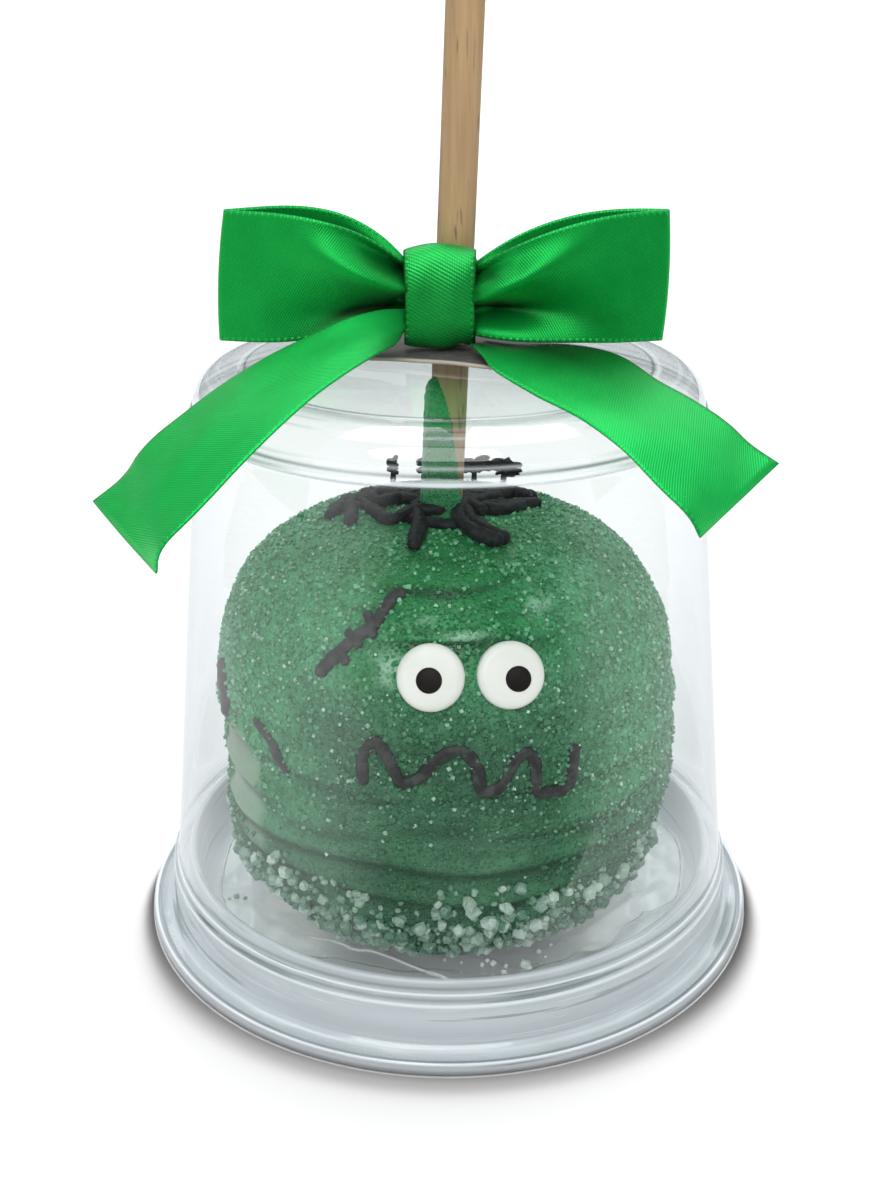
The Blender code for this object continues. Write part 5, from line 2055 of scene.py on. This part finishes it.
@dataclass
class Bow:
    """The satin bow: a knot round the stick, two loops and two tails."""

    stick: Stick
    knot_centre: Triple = (-1.4, -6.3, 109.9)
    knot_size: Triple = (11.0, 6.9, 14.6)
    tie_radius: float = 3.85
    tie_height: float = 9.0
    tie_pleats: float = 1.1  # area of the gathered ribbon over that of a smooth turn
    knot_grid: tuple[int, int] = (72, 31)
    tie_grid: tuple[int, int] = (60, 25)
    knot_square: float = 2.8  # how square its turns are, 2 being round
    loop_grid: tuple[int, int] = (60, 41)
    tail_columns: int = 25
    tail_step: float = 1.2
    thickness: float = 0.3
    half_width: float = 10.5
    loop_open: float = 3.3
    loop_pressed: float = 0.6
    loops: dict[Side, LoopShape] = field(default_factory=lambda: {
        Side.LEFT: LoopShape(-6.4, -34.2, 123.1, 103.3, 8.0, 3.2, 4.9, 2.6, (
            Fold(0.0, 0.75, 0.8, 0.3, 0.4, 3.0), Fold(0.62, 1.0, 0.5, 0.24, 0.3, -2.2),
            Fold(-0.6, -0.62, 0.8, 0.28, 0.5, -3.0), Fold(0.95, 1.0, 0.5, 0.12, 0.12, 0.5)), 0.9),
        Side.RIGHT: LoopShape(3.4, 32.6, 123.1, 103.3, 8.6, 2.35, 1.3, 2.0, (
            Fold(0.42, 0.5, 0.25, 0.16, 0.22, 1.7), Fold(0.08, 0.85, 0.85, 0.24, 0.4, 2.5),
            Fold(-0.36, -0.6, 0.8, 0.2, 0.5, -4.2), Fold(0.7, 0.72, 0.22, 0.1, 0.2, -2.0),
            Fold(-0.9, -0.95, 0.6, 0.25, 0.3, 1.2)), 0.0),
    })
    tails: dict[Side, tuple[Floats, ...]] = field(default_factory=lambda: {
        Side.LEFT: ((-5.0, -8.2, 107.4, 1.6, -75), (-6.9, -8.9, 107.0, 1.6, -75),
                    (-9.7, -13.8, 107.2, 3.2, -35), (-13.8, -19.4, 106.7, 5.8, -8),
                    (-21.3, -25.5, 104.0, 9.3, 2),
                    (-28.4, -30.4, 100.0, 10.5, -1), (-35.3, -34.3, 94.6, 10.5, -8),
                    (-41.1, -36.7, 88.9, 10.5, -16), (-46.3, -37.3, 82.4, 10.5, -31)),
        Side.RIGHT: ((4.8, -8.6, 103.3, 2.4, -4), (8.2, -11.6, 102.8, 4.8, 0),
                     (12.2, -15.0, 102.6, 8.4, 3), (18.7, -20.4, 101.8, 10.4, 5),
                     (25.0, -25.6, 99.5, 10.5, 2), (30.9, -30.0, 96.4, 10.5, 6),
                     (36.3, -33.2, 92.1, 10.5, 15), (41.6, -34.9, 87.1, 10.5, 28)),
    })
    # Painted shade on each loop: middle x and z, half width, half height, slope and strength of each patch.
    shade_patches: dict[Side, tuple[Floats, ...]] = field(default_factory=lambda: {
        Side.LEFT: ((-10.6, 115.6, 3.4, 1.5, -0.45, 0.5), (-7.6, 114.3, 1.4, 0.9, -0.3, 0.65),
                    (-10.5, 108.4, 6.0, 0.9, 0.1, 0.8), (-18.5, 106.4, 6.5, 1.3, 0.45, 0.6),
                    (-12.0, 109.4, 7.0, 2.2, 0.15, 0.35), (-6.6, 112.0, 0.6, 6.0, 0.0, 0.5)),
        Side.RIGHT: ((6.8, 108.9, 2.0, 0.9, -0.05, 0.9), (10.0, 108.6, 4.2, 1.3, -0.08, 0.65),
                     (16.5, 107.6, 7.5, 1.8, -0.1, 0.32), (6.6, 113.6, 1.6, 0.7, 0.25, 0.6),
                     (4.2, 112.0, 0.7, 6.0, 0.0, 0.55)),
    })
    cuts: dict[Side, float] = field(default_factory=lambda: {Side.LEFT: -1.45, Side.RIGHT: 1.2})
    # Shade on a tail: at the knot and under the loop, then where it starts across, how wide it
    # is, where it ends along and over what length.
    shades: dict[Side, Floats] = field(default_factory=lambda: {
        Side.LEFT: (0.6, 0.55, 0.55, 0.4, 19.0, 6.0), Side.RIGHT: (0.7, 0.92, -0.75, 1.1, 30.0, 15.0)})

    def loop_point(self, side: Side, share: float, layer: int, across: float) -> Triple:
        """A point of a loop.

        Args:
            side: Which loop.
            share: Share of the way from the knot to the far crease.
            layer: -1 for the front layer, 1 for the back one.
            across: Place across the ribbon, from -1 at the bottom to 1 at the top.

        Returns:
            The point.
        """
        shape = self.loops[side]
        top = shape.far_top - shape.drop * (1 - share) ** shape.drop_power
        bottom = shape.far_bottom + shape.rise * (1 - share) ** shape.rise_power
        if layer > 0:
            top += 0.6 * sin(pi * share ** 0.6) * (1.0 if side is Side.LEFT else 0.0)
        middle = (top + bottom) / 2
        half = (top - bottom) / 2
        x = shape.knot_x + (shape.far_x - shape.knot_x) * share + shape.slant * across * share
        x += copysign(0.5, shape.far_x) * (1.0 - across * across) * share * share
        apart = self.loop_pressed + self.loop_open * sin(pi * share ** 0.7)
        pleat = sum(fold.depth(share, across) for fold in shape.folds)
        soft = 0.45 * sin(pi * share) * noise((share * 2.6, across * 1.3, layer * 3.1))
        y = self.knot_centre[1] + layer * apart - (pleat if layer < 0 else -0.4 * pleat) - soft
        return (x, y, middle + half * across)

    def loop(self, side: Side) -> None:
        """Make a loop: its front layer, the far crease and its back layer.

        Args:
            side: Which loop.
        """
        acrosses = np.linspace(-1, 1, self.loop_grid[1])
        shares = np.linspace(0.0, 1.0, self.loop_grid[0]) ** 1.15
        outward = copysign(0.45, self.loops[side].far_x)
        edge = [self.loop_point(side, 1.0, -1, across) for across in acrosses]
        rows = [[self.loop_point(side, share, -1, across) for across in acrosses] for share in shares]
        rows += [[(x + outward * cos(angle),
                   self.knot_centre[1] + self.loop_pressed * sin(angle), z) for x, _, z in edge]
                 for angle in np.radians(np.linspace(-60.0, 60.0, 5))]
        rows += [[self.loop_point(side, share, 1, across) for across in acrosses] for share in shares[::-1]]
        grid = np.array(rows)
        x, z = grid[:, :, 0], grid[:, :, 2]
        # Painted shade in the loop's hollows and under the tail.
        patch_shade = sum(depth * np.exp(-((x - x0) / wide) ** 2 - ((z - z0 - slope * (x - x0)) / tall) ** 2)
                     for x0, z0, wide, tall, slope, depth in self.shade_patches[side])
        self.strip("loop_" + side.value, grid, patch_shade, Satin())

    def woven(self, grid: Array, width: float, paint: dict[str, Array]) -> Form:
        """Lay a ribbon through a grid of points.

        Args:
            grid: Points across the ribbon, row by row along it.
            width: Its width in millimetres.
            paint: What is painted on it.

        Returns:
            The ribbon, with the run of its threads.
        """
        run = lengths_along(grid[:, grid.shape[1] // 2])
        across = np.linspace(-width / 2, width / 2, grid.shape[1])
        weave = np.stack(np.broadcast_arrays(across[None, :], run[:, None]), axis=-1)
        return Form(grid.reshape(-1, 3), grid_faces(*grid.shape[:2]), paint, weave.reshape(-1, 2))

    def strip(self, part: str, grid: Array, tuck_and_shade: Array, satin: Satin) -> None:
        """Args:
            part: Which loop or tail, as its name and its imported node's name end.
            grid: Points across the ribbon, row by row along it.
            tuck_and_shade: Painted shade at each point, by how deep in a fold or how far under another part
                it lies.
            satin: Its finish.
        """
        width = 2 * self.half_width
        form = self.woven(grid, width, {"tuck_and_shade": np.minimum(tuck_and_shade, 1.0).ravel()})
        piece = form.piece("bow_" + part, satin, Slot.SATIN, node="ribbon_" + part, sheet=self.thickness)
        form.weave[-1, 1] * MM

    def tail(self, side: Side) -> None:
        """Make a tail, square to its route, with a slight cup and a slanting cut end.

        Args:
            side: Which tail.
        """
        seed = 5.0 if side is Side.LEFT else 9.0
        route = smooth_route(self.tails[side], self.tail_step)
        along = np.gradient(route[:, :3], axis=0)
        along /= np.linalg.norm(along, axis=1)[:, None]
        run = lengths_along(route)
        rows = []
        for number, (x, y, z, half, lean) in enumerate(route):
            way = Vector(along[number])
            level = Vector((0.0, 0.0, 1.0)).cross(way).normalized()
            across = np.array(Matrix.Rotation(radians(lean), 3, way) @ level)
            face = np.cross(across, along[number])
            near_end = max(0.0, 1.0 - (run[-1] - run[number]) / 12.0)
            row = []
            for share in np.linspace(-1, 1, self.tail_columns):
                cup = 0.45 * (share * share - 0.4) * min(1.0, run[number] / 10.0)
                wave = 0.5 * noise((run[number] * 0.06, share * 1.2, seed))
                spot = np.array([x, y, z]) + across * half * share + face * (cup + wave)
                row.append(spot + along[number] * self.cuts[side] * share * near_end ** 2)
            rows.append(row)
        grid = np.array(rows)
        at_knot, at_loop, near, width, end, length = self.shades[side]
        out = lengths_along(grid[:, grid.shape[1] // 2])[:, None]
        under = rise(np.linspace(-1.0, 1.0, grid.shape[1]), near, width) * rise(out, end, -length)
        shade = at_knot * np.exp(-(out / 2.2) ** 2) + at_loop * under
        # A lighter copy of the satin for the tails, which face the light from above: painted light.
        satin = Satin(name="tail_satin", colour=(0.008, 0.56, 0.1), shade=(0.001, 0.36, 0.055))
        self.strip("tail_" + side.value, grid, shade, satin)

    def knot(self) -> None:
        """Make the knot's band, wound over the front of the stick."""
        rows = []
        width, depth, height = self.knot_size
        turns, columns = self.knot_grid
        for step in range(turns + 1):
            angle = pi + tau * step / turns
            c, s = cos(angle), sin(angle)
            reach = 1.0 / (abs(c) ** self.knot_square + abs(s) ** self.knot_square) ** (1 / self.knot_square)
            row = []
            for number in range(columns):
                share = -1 + 2 * number / (columns - 1)
                crown = 0.3 * (1 - share * share) - 0.25 * abs(share) ** 8
                lump = 0.28 * noise((share * 1.4, c * 1.3, s * 1.3 + 4.0))
                top = 0.55 * max(0.0, s) ** 6 * exp(-((share + 0.05) / 0.45) ** 2)
                tuck_and_shade = 0.9 * max(0.0, -s) ** 6 * exp(-((share - 0.55) / 0.22) ** 2)
                out = crown + lump + top - tuck_and_shade
                waist = 1.0 - 0.05 * (1 - abs(s))
                x = self.knot_centre[0] + share * width / 2 * waist
                y = self.knot_centre[1] - (depth / 2 * reach + out) * c
                z = self.knot_centre[2] + (height / 2 * reach + out) * s
                row.append((x, y, z))
            rows.append(row)
        grid = np.array(rows)
        shares = np.linspace(-1.0, 1.0, columns)[None, :]
        # Painted shade at the band's edges and low on it.
        low = rise(grid[:, :, 2], self.knot_centre[2] - 3.0, -4.0)
        tuck_and_shade = 0.65 * np.abs(shares) ** 14 + low * (0.3 + 0.45 * np.clip(shares, 0.0, 1.0))
        form = self.woven(grid, width, {"tuck_and_shade": np.minimum(tuck_and_shade, 1.0).ravel()})
        satin = Satin(name="knot_satin", pitch=0.6, half_width=width / 2, dot_pitch=1.1,
                      colour=(0.02, 0.46, 0.085), relief=0.08)
        piece = form.piece("knot_band", satin, Slot.SATIN, node="ribbon_knot", sheet=self.thickness)
        form.weave[-1, 1] * MM

    def tie(self) -> None:
        """Make the turn of ribbon that holds the knot to the stick."""
        rows = []
        turns, columns = self.tie_grid
        for step in range(turns + 1):
            angle = tau * step / turns
            row = []
            for number in range(columns):
                share = -1 + 2 * number / (columns - 1)
                height = self.knot_centre[2] + share * self.tie_height / 2
                pleat = 0.22 * cos(share * 9.0 + 0.8 * sin(angle)) + 0.1
                row.append(self.stick.around(height, angle, self.tie_radius - 0.35 + pleat))
            rows.append(row)
        width = 2 * self.half_width
        form = self.woven(np.array(rows), width, {})
        piece = form.piece("stick_tie", Satin(), Slot.SATIN, sheet=self.thickness)
        length = form.weave[-1, 1]
        length * MM
        self.tie_height * length * MM * MM * self.tie_pleats

    def build(self) -> None:
        """Make the whole bow."""
        self.knot()
        self.tie()
        for side in Side:
            self.loop(side)
            self.tail(side)


def corners() -> list[list[float]]:
    """The shown object's lowest and highest corner as plain lists."""
    return [list(corner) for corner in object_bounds()]


def main() -> None:
    """Build the studio and every part of the object, and report each."""
    logging.basicConfig(level=logging.INFO, format="%(name)s: %(message)s")
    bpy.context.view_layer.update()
    Studio().build()
    stick = Stick()
    apple = AppleForm()
    parts: list[tuple[str, Callable[[], Any]]] = [
        ("pack", ClearPack().build),
        ("film", FilmSheet().build),
        ("stick", stick.build),
        ("apple", CandyApple(apple, stick).build),
        ("left eye", CandyEye("candy_eye_left", -2.7, 59.6, -0.2, -0.4, apple).build),
        ("right eye", CandyEye("candy_eye_right", 9.1, 59.4, 0.9, -0.6, apple).build),
        ("card", CardSquare(stick).build),
        ("bow", Bow(stick).build),
    ]
    for name, build in parts:
        build()
        LOG.info("%s done", name)


if __name__ == "__main__":
    main()
